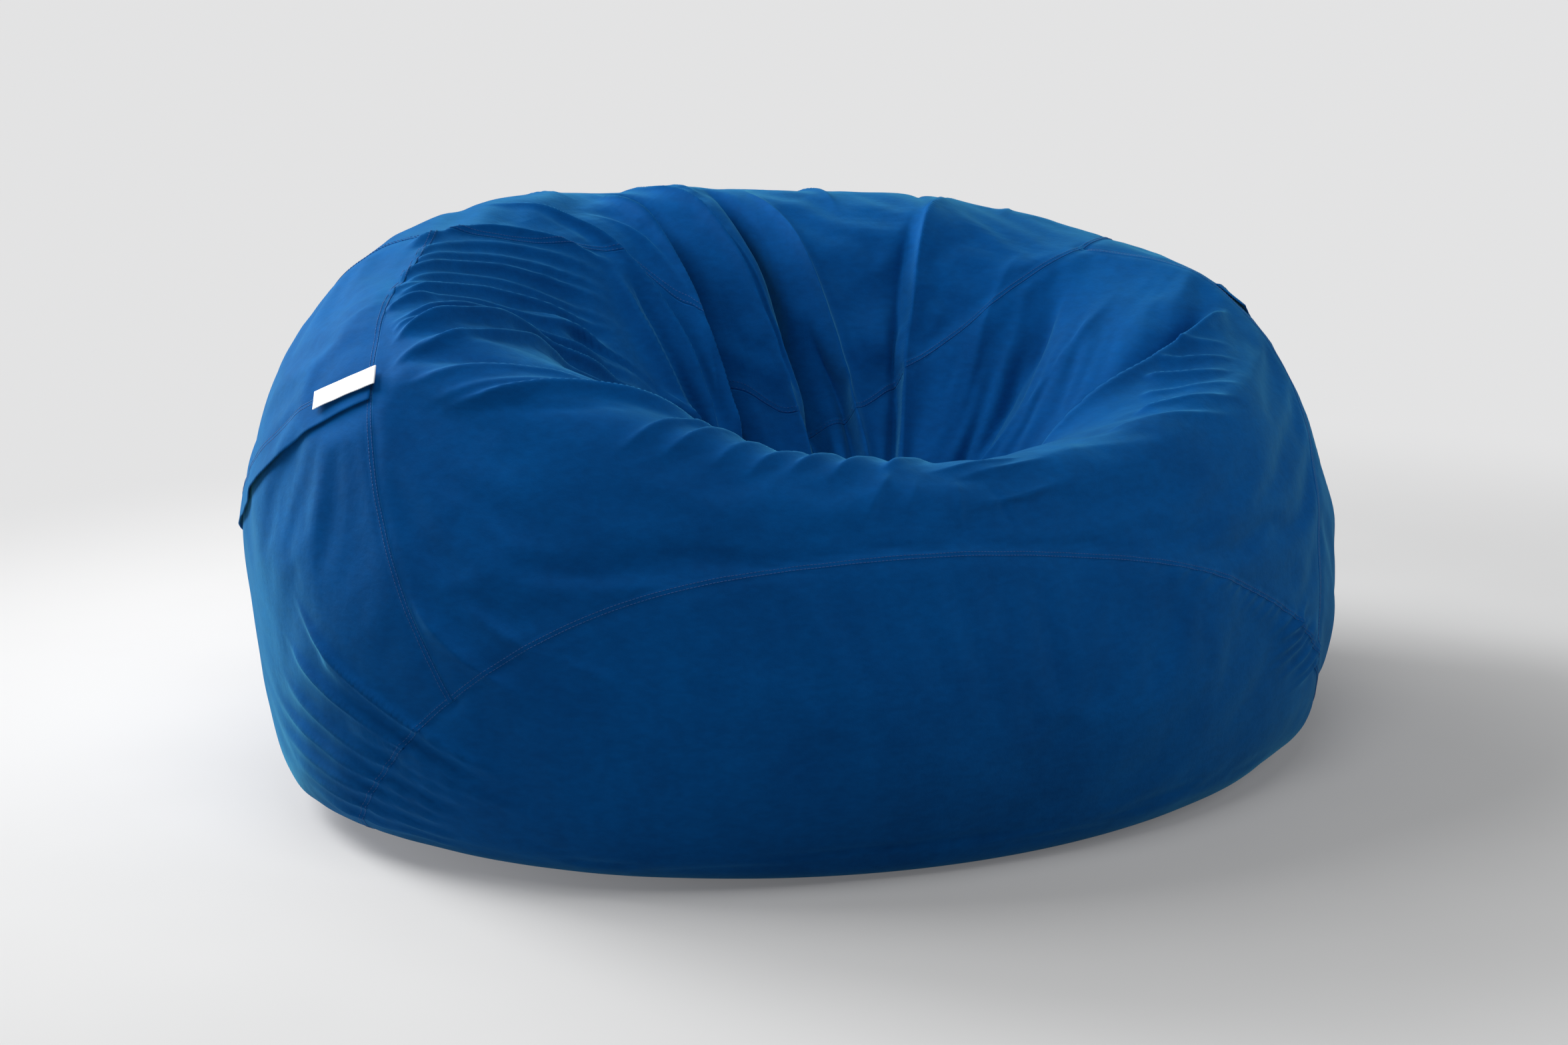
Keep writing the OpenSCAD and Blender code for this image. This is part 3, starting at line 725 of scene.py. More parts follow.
def face_outward(made):
    """Turns the faces round if most of them look at the middle of the bag."""
    mesh = made.data
    n = np.empty(len(mesh.polygons) * 3)
    c = np.empty(len(mesh.polygons) * 3)
    mesh.polygons.foreach_get("normal", n)
    mesh.polygons.foreach_get("center", c)
    away = c.reshape(-1, 3) - np.array([0, -0.05, 0.25])
    _, outward = seat(unit(away))
    if dot(n.reshape(-1, 3), outward).sum() < 0:
        mesh.flip_normals()


# -------------------------------------------------------------- cloth that settles

CLOTH_LOW_PHI, CLOTH_HIGH_PHI = 42, 177
CLOTH_AROUND, CLOTH_UP = 400, 150
CLOTH_FRAMES = 18
CLOTH_GRAVITY = 0.15
CLOTH_SETTINGS = {
    "quality": 5, "mass": 0.25, "tension_stiffness": 20, "compression_stiffness": 20,
    "shear_stiffness": 8, "bending_stiffness": 0.6, "tension_damping": 12, "compression_damping": 12,
    "air_damping": 4, "vertex_group_mass": "pinned", "vertex_group_shrink": "slack",
    "shrink_min": 0.0, "shrink_max": -0.05, "use_pressure": True, "uniform_pressure_force": 1.2,
}
# How far beside a seam the cloth is held, how firmly, and the least hold that counts
SEAM_HOLD, SEAM_FIRM, LEAST_HOLD = (0.006, 0.014), 0.5, 0.02
MOST_SETTLED = 0.012
# Only movement of a smaller spread than the first is kept, and it is smoothed by the second
KEPT_SPREAD, SMOOTH_SPREAD = 9, 0.7
# Where the cloth is loose: theta, phi, how far that reaches each way, and how loose
LOOSE = [
    (160, 132, 60, 22, 1.0), (95, 142, 55, 26, 1.0), (10, 146, 60, 22, 0.7), (-40, 128, 30, 18, 0.9),
    (-105, 120, 60, 16, 0.6), (195, 72, 26, 16, 0.7), (-50, 72, 20, 14, 0.7), (90, 95, 80, 30, 0.35),
]


def looseness(theta, phi):
    out = np.zeros_like(theta)
    for at, up, wide, high, amount in LOOSE:
        far = (turn_between(theta, at) / wide) ** 2 + ((phi - up) / high) ** 2
        out = np.maximum(out, amount * np.exp(-far))
    return out


def blur(field, spread):
    """A grid smoothed over its neighbours; it closes on itself along its columns."""
    reach = int(3 * spread)
    weights = np.exp(-0.5 * (np.arange(-reach, reach + 1) / spread) ** 2)
    weights /= weights.sum()
    tall = np.pad(field, ((reach, reach), (0, 0), (0, 0)), "edge")
    tall = sum(w * tall[k : k + len(field)] for k, w in enumerate(weights))
    return sum(w * np.roll(tall, k - reach, axis=1) for k, w in enumerate(weights))


def run_cloth(start, hold, loose):
    """Where the points of the cover come to after a moment as slack cloth."""
    faces = grid_faces(CLOTH_UP, CLOTH_AROUND, wrap=True)
    last = (CLOTH_UP - 1) * CLOTH_AROUND
    faces.append([last + j for j in range(CLOTH_AROUND)])
    cloth = mesh_object("settling_cover", start, faces)
    for name, weights in (("pinned", hold), ("slack", loose)):
        group = cloth.vertex_groups.new(name=name)
        for k in np.flatnonzero(weights > LEAST_HOLD).tolist():
            group.add([k], float(min(1, weights[k])), "REPLACE")
    modifier = cloth.modifiers.new("cloth", "CLOTH")
    for name, value in CLOTH_SETTINGS.items():
        setattr(modifier.settings, name, value)
    modifier.settings.effector_weights.gravity = CLOTH_GRAVITY
    modifier.collision_settings.use_collision = False
    modifier.collision_settings.use_self_collision = False
    modifier.point_cache.frame_start, modifier.point_cache.frame_end = 1, CLOTH_FRAMES
    scene = bpy.context.scene
    for at in range(1, CLOTH_FRAMES + 1):
        scene.frame_set(at)
    shown = cloth.evaluated_get(bpy.context.evaluated_depsgraph_get())
    after = np.empty(len(start) * 3)
    shown.data.vertices.foreach_get("co", after)
    scene.frame_set(1)
    bpy.data.objects.remove(cloth)
    return after.reshape(-1, 3)


def wrinkles_only(moved, phi):
    """The movement without its broad part, held to a most, and faded out at both ends."""
    moved = moved - blur(moved, KEPT_SPREAD)
    size = np.linalg.norm(moved, axis=-1, keepdims=True)
    moved *= MOST_SETTLED * np.tanh(size / MOST_SETTLED) / np.maximum(size, 1e-9)
    moved = blur(moved, SMOOTH_SPREAD)
    return moved * ease((phi - CLOTH_LOW_PHI) / 8)[..., None] * ease((CLOTH_HIGH_PHI - phi) / 6)[..., None]


def settle_cloth():
    """Lets the whole cover settle, and returns a function that gives how far each
    direction's point moved by it."""
    phis = np.linspace(CLOTH_LOW_PHI, CLOTH_HIGH_PHI, CLOTH_UP)
    theta, phi = np.meshgrid(np.linspace(0, 360, CLOTH_AROUND, endpoint=False), phis)
    points, _, push = folded(direction(theta, phi).reshape(-1, 3))
    start = points + push * free_to_move(points)[:, None]
    hold = np.maximum(1 - free_to_move(points), (phi.ravel() < CLOTH_LOW_PHI + 2))
    for seam in SEAMS:
        near = seam.near(points, 0.02)
        across = np.abs(seam.measure(points[near])[1])
        hold[near] = np.maximum(hold[near], SEAM_FIRM * fade(across, *SEAM_HOLD))
    moved = run_cloth(start, hold, looseness(theta, phi).ravel()) - start
    moved = wrinkles_only(moved.reshape(*theta.shape, 3), phi)

    def sample(directions):
        at_theta, at_phi = angles(directions)
        i = np.clip((at_phi - CLOTH_LOW_PHI) / (phis[1] - phis[0]), 0, CLOTH_UP - 1.001)
        j = (at_theta % 360) / (360 / CLOTH_AROUND)
        i0, j0 = i.astype(int), j.astype(int) % CLOTH_AROUND
        di, dj = (i - i0)[..., None], (j - j.astype(int))[..., None]
        j1 = (j0 + 1) % CLOTH_AROUND
        low = mix(moved[i0, j0], moved[i0, j1], dj)
        high = mix(moved[i0 + 1, j0], moved[i0 + 1, j1], dj)
        return mix(low, high, di) * (at_phi > CLOTH_LOW_PHI)[..., None]

    return sample


settled = settle_cloth()

# ------------------------------------------------------------------------- materials


def dial(node, values):
    for name, value in values.items():
        node.inputs[name].default_value = value


class Look:
    """A material in the making, with short ways to add and join its nodes."""

    def __init__(self, name, values):
        self.material = bpy.data.materials.new(name)
        self.material.use_nodes = True
        self.nodes, self.links = self.material.node_tree.nodes, self.material.node_tree.links
        self.shader = next(n for n in self.nodes if n.type == "BSDF_PRINCIPLED")
        dial(self.shader, values)

    def add(self, kind, source=None, into=0, values=None):
        """A new node, with source linked to its socket into."""
        node = self.nodes.new("ShaderNode" + kind)
        dial(node, values or {})
        if source is not None:
            self.links.new(source, node.inputs[into])
        return node

    def feed(self, socket, source):
        self.links.new(source, self.shader.inputs[socket])

    def noise(self, scale, detail=4, rough=0.55, stretch=None):
        source = self.add("TexCoord").outputs["Object"]
        if stretch:
            source = self.add("Mapping", source, "Vector", {"Scale": stretch}).outputs["Vector"]
        values = {"Scale": scale, "Detail": detail, "Roughness": rough}
        return self.add("TexNoise", source, "Vector", values).outputs["Fac"]

    def ramp(self, source, *stops):
        """Colours between two stops: (place, colour)."""
        made = self.add("ValToRGB", source, "Fac")
        for element, (at, colour) in zip(made.color_ramp.elements, stops):
            element.position, element.color = at, (*colour, 1)
        return made.outputs["Color"]

    def between(self, source, low, high):
        return self.add("MapRange", source, "Value", {"To Min": low, "To Max": high}).outputs["Result"]

    def bump(self, *layers):
        """Bumps on bumps for the shader: (height source, strength, distance)."""
        normal = None
        for source, strength, distance in layers:
            made = self.add("Bump", source, "Height", {"Strength": strength, "Distance": distance})
            if normal:
                self.links.new(normal, made.inputs["Normal"])
            normal = made.outputs["Normal"]
        self.feed("Normal", normal)


def cover_cloth():
    """Brushed blue cotton: a soft nap, mottled where it has been stroked."""
    look = Look("brushed_blue_cotton", {
        "Specular IOR Level": 0.05, "Sheen Weight": 0.28, "Sheen Roughness": 0.4,
        "Sheen Tint": (0.15, 0.75, 1.0, 1),
    })
    nap, fibre, crease = look.noise(9, 6, 0.62), look.noise(620, 3, 0.7), look.noise(17, 7, 0.62)
    slub = look.noise(60, 5, 0.6, stretch=(1, 1, 2.2))
    shade = look.add("Mix")
    shade.data_type, shade.blend_type = "RGBA", "MULTIPLY"
    shade.inputs["Factor"].default_value = 0.5
    mottle = look.ramp(nap, (0.30, (0.0, 0.054, 0.212)), (0.72, (0.0, 0.072, 0.270)))
    look.links.new(mottle, shade.inputs["A"])
    fleck = look.ramp(slub, (0.35, (0.72, 0.72, 0.74)), (0.65, (1.0, 1.0, 1.0)))
    look.links.new(fleck, shade.inputs["B"])
    look.feed("Base Color", shade.outputs["Result"])
    look.feed("Roughness", look.between(nap, 0.78, 0.92))
    look.bump((crease, 0.30, 0.006), (slub, 0.35, 0.0006), (fibre, 0.5, 0.00025))
    return look.material


def plain_cloth(name, low, high, scale=500, rough=0.8):
    look = Look(name, {"Roughness": rough, "Sheen Weight": 0.1})
    look.feed("Base Color", look.ramp(look.noise(14, 4, 0.6), (0.3, low), (0.7, high)))
    look.bump((look.noise(scale, 3, 0.6), 0.4, 0.0003))
    return look.material


def metal(name, colour, rough):
    look = Look(name, {"Metallic": 1})
    brush = look.noise(300, 4, 0.6, stretch=(1, 8, 8))
    darker = tuple(0.8 * c for c in colour)
    look.feed("Base Color", look.ramp(brush, (0.3, darker), (0.7, colour)))
    look.feed("Roughness", look.between(brush, rough - 0.06, rough + 0.1))
    return look.material


def moulded(name, colour, rough):
    look = Look(name, {"Roughness": rough})
    grain = look.noise(220, 3, 0.5)
    darker = tuple(0.85 * c for c in colour)
    look.feed("Base Color", look.ramp(grain, (0.3, darker), (0.7, colour)))
    look.bump((grain, 0.15, 0.0001))
    return look.material


def foam():
    look = Look("shredded_foam", {"Roughness": 0.9})
    crumb = look.add("TexVoronoi", look.add("TexCoord").outputs["Object"], "Vector", {"Scale": 70})
    tones = (0.2, (0.80, 0.70, 0.42)), (0.8, (0.90, 0.86, 0.70))
    look.feed("Base Color", look.ramp(crumb.outputs["Color"], *tones))
    look.bump((crumb.outputs["Distance"], 0.9, 0.004), (look.noise(420, 3, 0.7), 0.4, 0.0006))
    return look.material


COVER = cover_cloth()
THREAD = plain_cloth("blue_thread", (0.002, 0.062, 0.23), (0.004, 0.080, 0.29), 900, 0.7)
TAPE = plain_cloth("zip_tape_blue", (0.008, 0.06, 0.17), (0.012, 0.08, 0.21), 800, 0.8)
TEETH = moulded("zip_teeth_blue", (0.010, 0.07, 0.19), 0.4)
METAL = metal("zip_metal", (0.72, 0.72, 0.70), 0.3)
RIBBON = plain_cloth("label_ribbon", (0.80, 0.81, 0.83), (0.86, 0.86, 0.87), 900, 0.6)
LINING = plain_cloth("liner_cotton", (0.66, 0.65, 0.61), (0.75, 0.74, 0.70), 600, 0.85)
LINER_TAPE = plain_cloth("liner_tape_cotton", (0.70, 0.70, 0.68), (0.78, 0.78, 0.76), 800, 0.8)
LINER_TEETH = moulded("liner_teeth_white", (0.78, 0.78, 0.76), 0.4)
FOAM = foam()

# ------------------------------------------------------------------ the cover's panels

FINE = 0.0040
COARSE = 0.008
BASE_STEP = 0.0062
fine_share = 0.0040 / FINE


def some(count):
    return max(4, int(count * fine_share))


front_columns = uneven([(0.02, some(10)), (0.5, some(290)), (0.98, some(230)), (1.0, some(10))])


def all_round(left, right, rear_count):
    """Bearings of a round panel's columns, in line with the front band's at the front."""
    front = mix(left, right, front_columns[:-1])
    return np.concatenate([front, np.linspace(right, left - 360, some(rear_count), endpoint=False)])


base_grid = cap_grid(base_point, all_round(BASE_LEFT, BASE_RIGHT, 200), BASE_STEP)
top_grid = cap_grid(top_point, all_round(TOP_LEFT, TOP_RIGHT, 220), FINE)
front_grid = band_grid(front_band, front_columns, FINE)

rear_columns = uneven([(0.16, some(90)), (0.80, some(170)), (0.998, some(120)), (1.0, 3)])
gap_angle = np.abs(beside_zip(bag(rear_band(rear_columns, crossing(rear_columns, 0))))[2])
half_gap = mix(0.0025, 0.009, fade(gap_angle, ZIP_HALF + 1, ZIP_HALF + 6))
closure_low = crossing(rear_columns, -half_gap)
closure_high = crossing(rear_columns, half_gap)
lower_grid = band_grid(rear_band, rear_columns, COARSE, high=closure_low)
upper_grid = band_grid(rear_band, rear_columns, COARSE, low=closure_high)

PANELS = [
    ("front_base_panel", cap_object("front_base_cloth", base_grid, base_middle, COVER), cap_cut(base_grid)),
    ("back_top_panel", cap_object("back_top_cloth", top_grid, top_middle, COVER), cap_cut(top_grid)),
    ("front_band_panel", band_object("front_band_cloth", front_grid, COVER), band_cut(front_grid)),
    ("rear_lower_panel", band_object("rear_lower_cloth", lower_grid, COVER), band_cut(lower_grid)),
    ("rear_upper_panel", band_object("rear_upper_cloth", upper_grid, COVER), band_cut(upper_grid)),
]
for node, piece, (flat, area) in PANELS:
    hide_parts(node)
    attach(piece, "root")
    area = min(area, flat[0] * flat[1])

# ------------------------------------------------------------------- flap and label

FLAP_HALF = 0.021
FLAP_THICK = 0.0018
FLAP_END, FLAP_COLUMNS = 0.0008, 420
# Level on the flap, and how far its inside stands off the cloth there
FLAP_ROWS = [
    (1.0, 0.0002), (0.93, 0.0008), (0.75, 0.0010), (0.5, 0.0013), (0.25, 0.0015), (0.0, 0.0017),
    (-0.3, 0.0020), (-0.6, 0.0024), (-0.85, 0.0028), (-1.0, 0.0031),
]
FLAP_WAVES = [(0.21, 0.0007), (0.087, 0.0005), (0.034, 0.0002)]
FLAP_LOOSE = 0.0012
FLAP_LENGTH = band_cut(rear_band(rear_columns[None], np.array([closure_low, closure_high])))[0][0]


def closed_strip(name, outer, inner, material):
    """A closed strip between two grids, rounded a little at its last row's edge."""
    thick = np.linalg.norm(outer[-1] - inner[-1], axis=-1)[:, None]
    edge = (outer[-1] + inner[-1]) / 2 + unit(outer[-1] - outer[-2]) * thick * 0.4
    rows = np.concatenate([outer, edge[None], inner[::-1]])
    around, cols = rows.shape[:2]
    faces = [[f[0], f[3], f[2], f[1]] for f in grid_faces(cols, around, wrap=True)]
    points = rows.transpose(1, 0, 2).reshape(-1, 3)
    faces += [list(range(around)), [(cols - 1) * around + k for k in range(around)][::-1]]
    return mesh_object(name, points, faces, material)


def flap_inside(s, level):
    """Points of the flap's inside along one level of it, and the way out there."""
    u = rear_band(s, crossing(s, level * FLAP_HALF))
    base, n = dress(u), seat(u)[1]
    turns = 2 * math.pi * s * FLAP_LENGTH
    wave = sum(high * np.sin(turns / long + k * 2.1) for k, (long, high) in enumerate(FLAP_WAVES))
    free = ease((0.6 - level) / 1.6)
    calm = fade(np.linalg.norm(base - LABEL_POS, axis=1), 0.06, 0.12)
    off = np.interp(-level, *np.array([(-at, off) for at, off in FLAP_ROWS]).T)
    stand = off * mix(1.0, 0.75, calm) + (wave + FLAP_LOOSE) * free * (1 - calm)
    return base + n * stand[:, None], n


def flap():
    s = np.linspace(FLAP_END, 1 - FLAP_END, FLAP_COLUMNS)
    layers = [flap_inside(s, level) for level, _ in FLAP_ROWS]
    outer = np.array([inside + n * FLAP_THICK for inside, n in layers])
    return closed_strip("flap_cloth", outer, np.array([inside for inside, _ in layers]), COVER)


zip_cover = flap()
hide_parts("zip_flap")
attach(zip_cover, "root")

LABEL_WIDE, LABEL_DROP, LABEL_CLOTH, LABEL_THICK = 0.100, 0.027, 0.0004, 0.0014


def ribbon_path():
    """Drop, offset and the way out of the ribbon, down its back, round its fold and up."""
    turn = (LABEL_THICK - LABEL_CLOTH) / 2
    straight = np.linspace(0, LABEL_DROP - LABEL_THICK / 2, 9)
    round_fold = np.radians(np.linspace(-75, 75, 6))
    back = [(d, -turn, 0, -1) for d in straight]
    fold = [
        (straight[-1] + turn * math.cos(a), turn * math.sin(a), math.cos(a), math.sin(a)) for a in round_fold
    ]
    return np.array(back + fold + [(d, turn, 0, 1) for d in straight[::-1]])


def label():
    """A blank ribbon folded in two along its lower edge, a little bowed along its length."""
    along = unit(LABEL_ALONG)
    out = unit(np.cross(np.cross(along, LABEL_FACE), along))
    up = np.cross(out, along)
    x = np.linspace(-0.5, 0.5, 41)
    bow = 0.0011 * (1 - (2 * x) ** 2) + 0.00025 * np.sin(17 * x + 0.6)
    path = ribbon_path()
    ways = path[:, 2:] * LABEL_CLOTH / 2
    section = np.concatenate([path[:, :2] + ways, (path[:, :2] - ways)[::-1]])
    rows = []
    for drop, off in section:
        down = drop / LABEL_DROP
        place = LABEL_POS + np.outer(x * LABEL_WIDE, along) - up * drop
        stand = LABEL_THICK / 2 + off + bow * (0.4 + 0.6 * down) + 0.0006 * down**2
        rows.append(place + out * stand[:, None])
    around, cols = len(section), len(x)
    faces = grid_faces(cols, around, wrap=True)
    for first, turn in ((0, 1), ((cols - 1) * around, -1)):
        ends = [[k, around - 1 - k, around - 2 - k, k + 1] for k in range(around // 2 - 1)]
        faces += [[first + k for k in quad][::turn] for quad in ends]
    points = np.array(rows).transpose(1, 0, 2).reshape(-1, 3)
    return mesh_object("label_ribbon_fold", points, faces, RIBBON)


ribbon = label()
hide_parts("seam_label")
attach(ribbon, "seam_label")

# ----------------------------------------------------------------------- topstitching

STITCH_PITCH, STITCH_LONG, STITCH_RADIUS, STITCH_LIFT = 0.0046, 0.0034, 0.00038, 0.0001
STITCH_ROWS = (0.0016, 0.0066)
STITCH_SIDES = 6
# How far along a stitch each of its rings is, and how thick it is there
STITCH_RINGS = [(-0.5, 0.35), (-0.4, 1.0), (0.4, 1.0), (0.5, 0.35)]


def direction_of(target, u):
    """The directions of places near the bag, from directions that are already close."""
    for _ in range(3):
        a, b = two_ways(u)
        p = bag(u)
        by_a, by_b = (bag(unit(u + NUDGE * a)) - p) / NUDGE, (bag(unit(u + NUDGE * b)) - p) / NUDGE
        aa, ab, bb = dot(by_a, by_a), dot(by_a, by_b), dot(by_b, by_b)
        ga, gb = dot(target - p, by_a), dot(target - p, by_b)
        size = aa * bb - ab * ab
        to_a, to_b = (bb * ga - ab * gb) / size, (aa * gb - ab * ga) / size
        u = unit(u + to_a[:, None] * a + to_b[:, None] * b)
    return u


def along_seam(seam, along, off):
    """Points of the sewn cover at lengths along a seam, off to its felled side, and normals."""
    u = unit(np.array([np.interp(along, seam.along, d) for d in seam.directions.T]).T)
    side = unit(np.array([np.interp(along, seam.along, d) for d in seam.side.T]).T)
    u = direction_of(bag(u) + side * off * seam.fell_side, u)
    return dress(u), seat(u)[1]


def seam_stitches():
    """First and last points and normals of each stitch, in two rows beside every seam."""
    for seam in SEAMS:
        middles = np.arange(STITCH_PITCH, seam.length - STITCH_PITCH, STITCH_PITCH)
        for row in STITCH_ROWS:
            first, normals = along_seam(seam, middles - STITCH_LONG / 2, row)
            yield first, along_seam(seam, middles + STITCH_LONG / 2, row)[0], normals


def flap_stitches():
    middles = np.arange(2 * STITCH_PITCH, FLAP_LENGTH - 2 * STITCH_PITCH, STITCH_PITCH) / FLAP_LENGTH
    half = STITCH_LONG / 2 / FLAP_LENGTH
    for row in STITCH_ROWS:
        level = 1 - row / FLAP_HALF
        first, normals = flap_inside(middles - half, level)
        last, _ = flap_inside(middles + half, level)
        yield first + normals * FLAP_THICK, last + normals * FLAP_THICK, normals


def topstitching():
    first, last, up = (np.concatenate(part) for part in zip(*seam_stitches(), *flap_stitches()))
    middle, ahead = (first + last) / 2 + up * STITCH_LIFT, unit(last - first)
    side = unit(np.cross(up, ahead))
    up = np.cross(ahead, side)
    rings = []
    for share, thick in STITCH_RINGS:
        for a in np.arange(STITCH_SIDES) * 2 * math.pi / STITCH_SIDES:
            away = (side * math.cos(a) + up * math.sin(a)) * STITCH_RADIUS * thick
            rings.append(middle + ahead * STITCH_LONG * share + away)
    points = np.stack(rings, 1)
    one = grid_faces(len(STITCH_RINGS), STITCH_SIDES, wrap=True)
    last_ring = (len(STITCH_RINGS) - 1) * STITCH_SIDES
    one += [list(range(STITCH_SIDES))[::-1], [last_ring + k for k in range(STITCH_SIDES)]]
    each = points.shape[1]
    faces = [[n * each + k for k in face] for n in range(len(points)) for face in one]
    return mesh_object("cover_topstitching", points.reshape(-1, 3), faces, THREAD)


thread = topstitching()
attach(thread, "root")

# ------------------------------------------------------------------- liner and filling

LINER_DEPTH, FILL_DEPTH = 0.0095, 0.0175
LINER_LOW_PHI, TOP_PHI_LAST = 44, 178


def sunk(u):
    """How far the folds reach into the bag, spread out to their neighbours."""
    points, normals = seat(u)
    deep = np.minimum(dot(dress(u) - points, normals), 0)
    for _ in range(2):
        wide = np.pad(deep, ((1, 1), (0, 0)), "edge")
        deep = np.minimum(np.minimum(wide[:-2], wide[2:]), deep)
        deep = np.minimum(np.minimum(np.roll(deep, 1, 1), np.roll(deep, -1, 1)), deep)
    return points, normals, deep


def inner_bag(name, phis, around, depth, rough, material, capped):
    u = direction(*np.meshgrid(np.linspace(0, 360, around, endpoint=False), phis))
    points, normals, deep = sunk(u)
    crumple = np.random.default_rng(5).uniform(-1, 1, deep.shape) * rough
    crumple = (crumple + np.roll(crumple, 1, 1) + np.roll(crumple, 1, 0)) / 2
    crumple[[0, -1]] = 0
    inset = points + normals * (deep - depth - rough + crumple)[..., None]
    inset[..., 2] = np.maximum(inset[..., 2], depth)
    rows, cols = inset.shape[:2]
    faces = grid_faces(rows, cols, wrap=True)
    top = rows * cols
    extra = [inset[-1].mean(0)]
    faces += [[top, (rows - 1) * cols + j, (rows - 1) * cols + (j + 1) % cols] for j in range(cols)]
    if capped:
        extra.append(inset[0].mean(0))
        faces += [[top + 1, (j + 1) % cols, j] for j in range(cols)]
    made = mesh_object(name, np.vstack([inset.reshape(-1, 3), extra]), faces, material)
    face_outward(made)
    return made


liner_phis = np.linspace(LINER_LOW_PHI, TOP_PHI_LAST, 90)
liner = inner_bag("liner_cloth_shell", liner_phis, 220, LINER_DEPTH, 0.0006, LINING, False)
liner_grid = direction(*np.meshgrid(np.linspace(0, 360, 120), np.linspace(LINER_LOW_PHI, TOP_PHI_LAST, 60)))
LINER_CUT = band_cut(liner_grid)
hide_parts("liner_shell")
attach(liner, "root")
filling_phis = np.linspace(4, TOP_PHI_LAST, 110)
filling = inner_bag("shredded_foam_filling", filling_phis, 240, FILL_DEPTH, 0.0018, FOAM, True)
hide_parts("foam_filling")
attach(filling, "root")

# ------------------------------------------------------------- materials of CAD pieces

CAD_LOOKS = {
    "zip_tape_upper": TAPE, "zip_tape_lower": TAPE, "zip_teeth_upper": TEETH, "zip_teeth_lower": TEETH,
    "zip_slider": METAL, "zip_stops": METAL, "care_label": RIBBON, "liner_base_front": LINING,
    "liner_base_back": LINING, "liner_zip_tape_front": LINER_TAPE, "liner_zip_tape_back": LINER_TAPE,
    "liner_zip_teeth_front": LINER_TEETH, "liner_zip_teeth_back": LINER_TEETH,
    "liner_zip_slider": METAL, "liner_zip_stops": METAL,
}
for node, material in CAD_LOOKS.items():
    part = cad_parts[node]
    if not part.material_slots:
        part.data.materials.append(material)
    for place in part.material_slots:
        place.material = material

# --------------------------------------------------------------------- the stage

CAMERA_TURN, CAMERA_RISE = math.radians(-29.6), math.radians(13.5)
CAMERA_FAR, CAMERA_LENS = 4.116, 70
CAMERA_TARGET = np.array([-0.072, -0.052, 0.33])


def camera():
    back = np.array([
        math.sin(CAMERA_TURN) * math.cos(CAMERA_RISE),
        -math.cos(CAMERA_TURN) * math.cos(CAMERA_RISE),
        math.sin(CAMERA_RISE),
    ])
    data = bpy.data.cameras.new("camera")
    data.lens, data.sensor_width = CAMERA_LENS, 36
    made = bpy.data.objects.new("camera", data)
    made.location = CAMERA_TARGET + back * CAMERA_FAR
    made.rotation_euler = (math.pi / 2 - CAMERA_RISE, 0, CAMERA_TURN)
    bpy.context.scene.collection.objects.link(made)
    bpy.context.scene.camera = made


def area_light(name, place, size, power):
    data = bpy.data.lights.new(name, "AREA")
    data.shape, data.size, data.energy = "DISK", size, power
    made = bpy.data.objects.new(name, data)
    made.location = place
    aim = unit(BAG_MIDDLE - place)
    made.rotation_euler = Vector(aim).to_track_quat("-Z", "Y").to_euler()
    bpy.context.scene.collection.objects.link(made)


BAG_MIDDLE = np.array([0, 0, 0.33])
# Height, how far to the camera's right and away from it, size and power
LIGHTS = [
    ("key", 2.0, -3.2, 1.6, 1.5, 172), ("high_left", 3.2, -2.6, 0.2, 1.5, 88),
    ("above_front", 3.5, 0, -1.5, 2.2, 46), ("above_back", 3.3, 0, 1.8, 2.2, 10),
    ("right", 2.0, 3.3, -0.3, 2.0, 32),
]
FLOOR_REACH = 40
# Distances from LIT_MIDDLE: the floor takes light near the bag, and is an even grey beyond
LIT_FLOOR = (1.2, 2.5)
# Distances from LIT_MIDDLE over which the floor's glow rises, and its strength near and far: the weaker glow
# near the bag is painted shadow
PAINTED_SHADE_REACH, GLOW_WITH_PAINTED_SHADE = (0.5, 1.2), (0.12, 0.30)
LIT_MIDDLE = (0.25, -0.35, 0)
PALE = (0.768, 0.768, 0.772, 1)


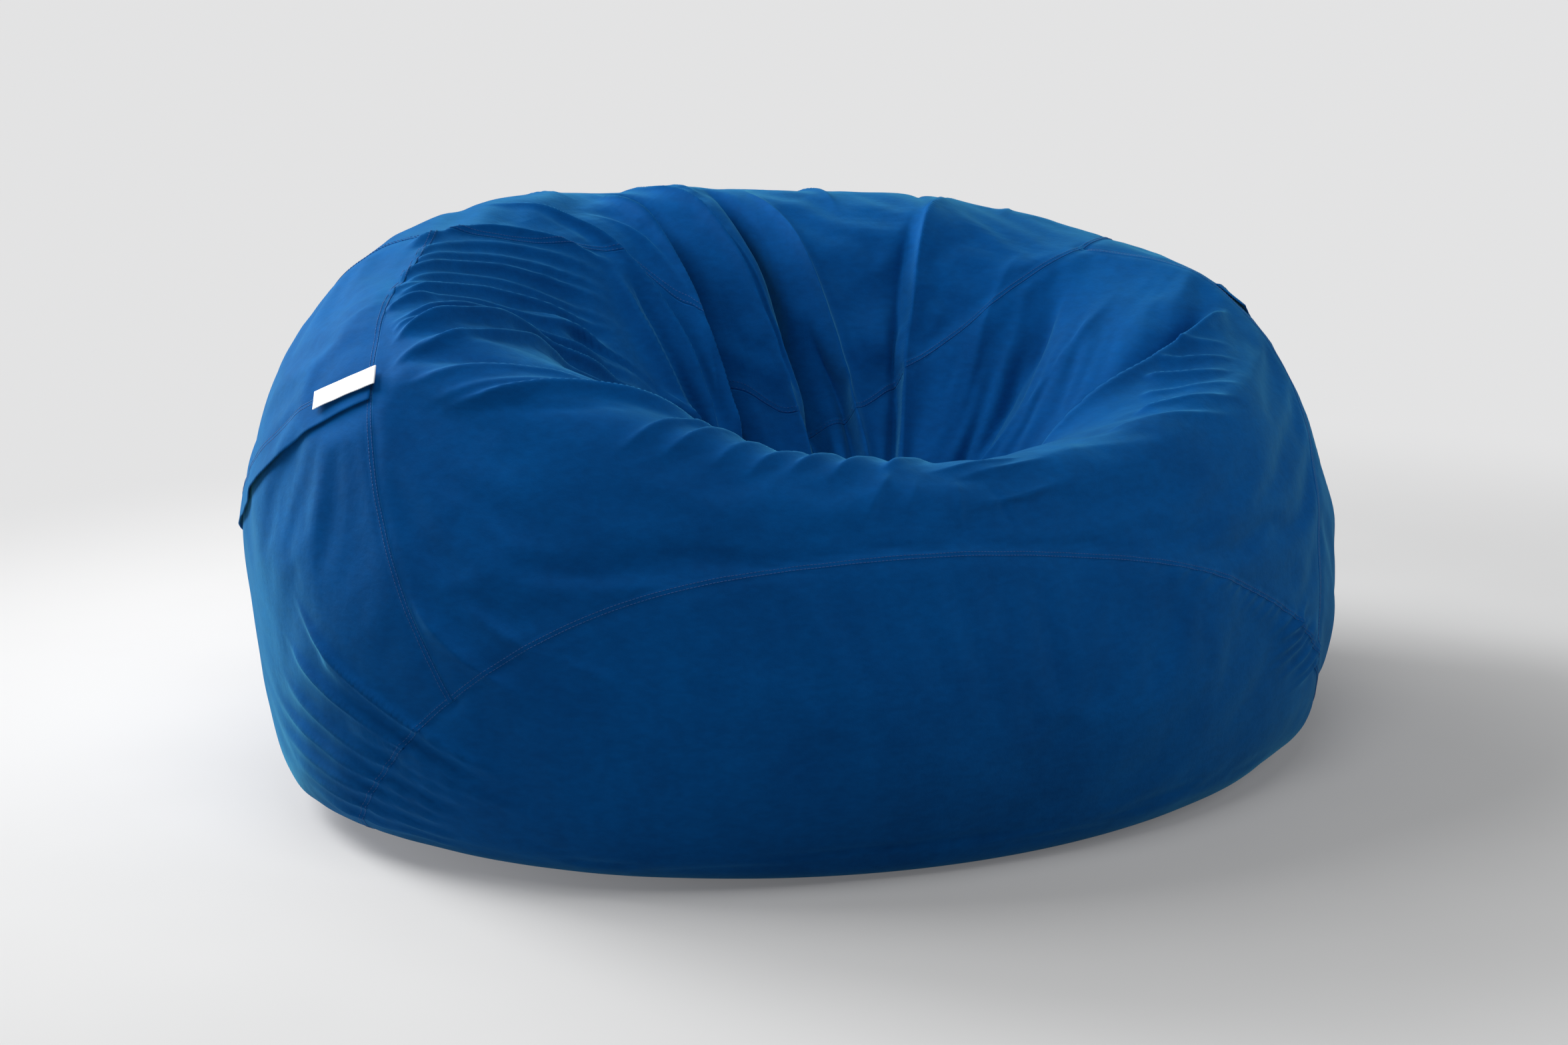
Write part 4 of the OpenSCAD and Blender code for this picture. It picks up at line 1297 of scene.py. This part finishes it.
def floor_paper():
    """Pale paper that takes the bag's shadow, glows less near the bag as a painted shadow round its foot,
    and fades into an even background.
    """
    look = Look("pale_paper", {"Roughness": 0.9, "Specular IOR Level": 0, "Emission Color": (1, 1, 1, 1)})
    pale = look.ramp(look.noise(3, 2, 0.5), (0.3, (0.355, 0.355, 0.355)), (0.7, (0.365, 0.365, 0.365)))
    look.feed("Base Color", pale)
    both = look.add("MixShader", look.shader.outputs["BSDF"], 1)
    look.links.new(look.add("Emission", values={"Color": PALE}).outputs["Emission"], both.inputs[2])
    far = look.add("VectorMath", look.add("TexCoord").outputs["Object"])
    far.operation = "DISTANCE"
    far.inputs[1].default_value = LIT_MIDDLE
    # The glow's strength rises away from the bag, so its foot is darker: painted shadow. Beyond LIT_FLOOR
    # the floor is only the even glow.
    for span, between, goes_to in (
        (PAINTED_SHADE_REACH, GLOW_WITH_PAINTED_SHADE, look.shader.inputs["Emission Strength"]),
        (LIT_FLOOR, (0, 1), both.inputs["Fac"]),
    ):
        values = dict(zip(("From Min", "From Max", "To Min", "To Max"), (*span, *between)))
        share = look.add("MapRange", far.outputs["Value"], "Value", values)
        share.interpolation_type = "SMOOTHSTEP"
        look.links.new(share.outputs["Result"], goes_to)
    result = next(n for n in look.nodes if n.type == "OUTPUT_MATERIAL")
    look.links.new(both.outputs["Shader"], result.inputs["Surface"])
    return look.material


def studio_world():
    """Little light from all round, seen as the same pale grey as the floor far away."""
    world = bpy.data.worlds.new("studio")
    bpy.context.scene.world = world
    world.use_nodes = True
    nodes, links = world.node_tree.nodes, world.node_tree.links
    dim = nodes["Background"]
    dial(dim, {"Color": (0.95, 0.98, 1.0, 1), "Strength": 0.10})
    seen = nodes.new("ShaderNodeBackground")
    seen.inputs["Color"].default_value = PALE
    rays, both = nodes.new("ShaderNodeLightPath"), nodes.new("ShaderNodeMixShader")
    links.new(rays.outputs["Is Camera Ray"], both.inputs["Fac"])
    links.new(dim.outputs["Background"], both.inputs[1])
    links.new(seen.outputs["Background"], both.inputs[2])
    links.new(both.outputs["Shader"], nodes["World Output"].inputs["Surface"])


def stage():
    """A pale floor and soft light, most of it from the left and a little behind."""
    corners = [FLOOR_REACH * np.array([math.cos(a), math.sin(a), 0]) for a in np.arange(64) * math.pi / 32]
    mesh_object("studio_floor", np.array(corners), [list(range(64))], floor_paper())
    studio_world()
    across = np.array([math.cos(CAMERA_TURN), math.sin(CAMERA_TURN), 0])
    away = np.array([-math.sin(CAMERA_TURN), math.cos(CAMERA_TURN), 0])
    for name, high, right, back, size, power in LIGHTS:
        area_light(name, np.array([0, 0, high]) + across * right + away * back, size, power)


camera()
stage()
bpy.context.scene.view_settings.view_transform = "Standard"
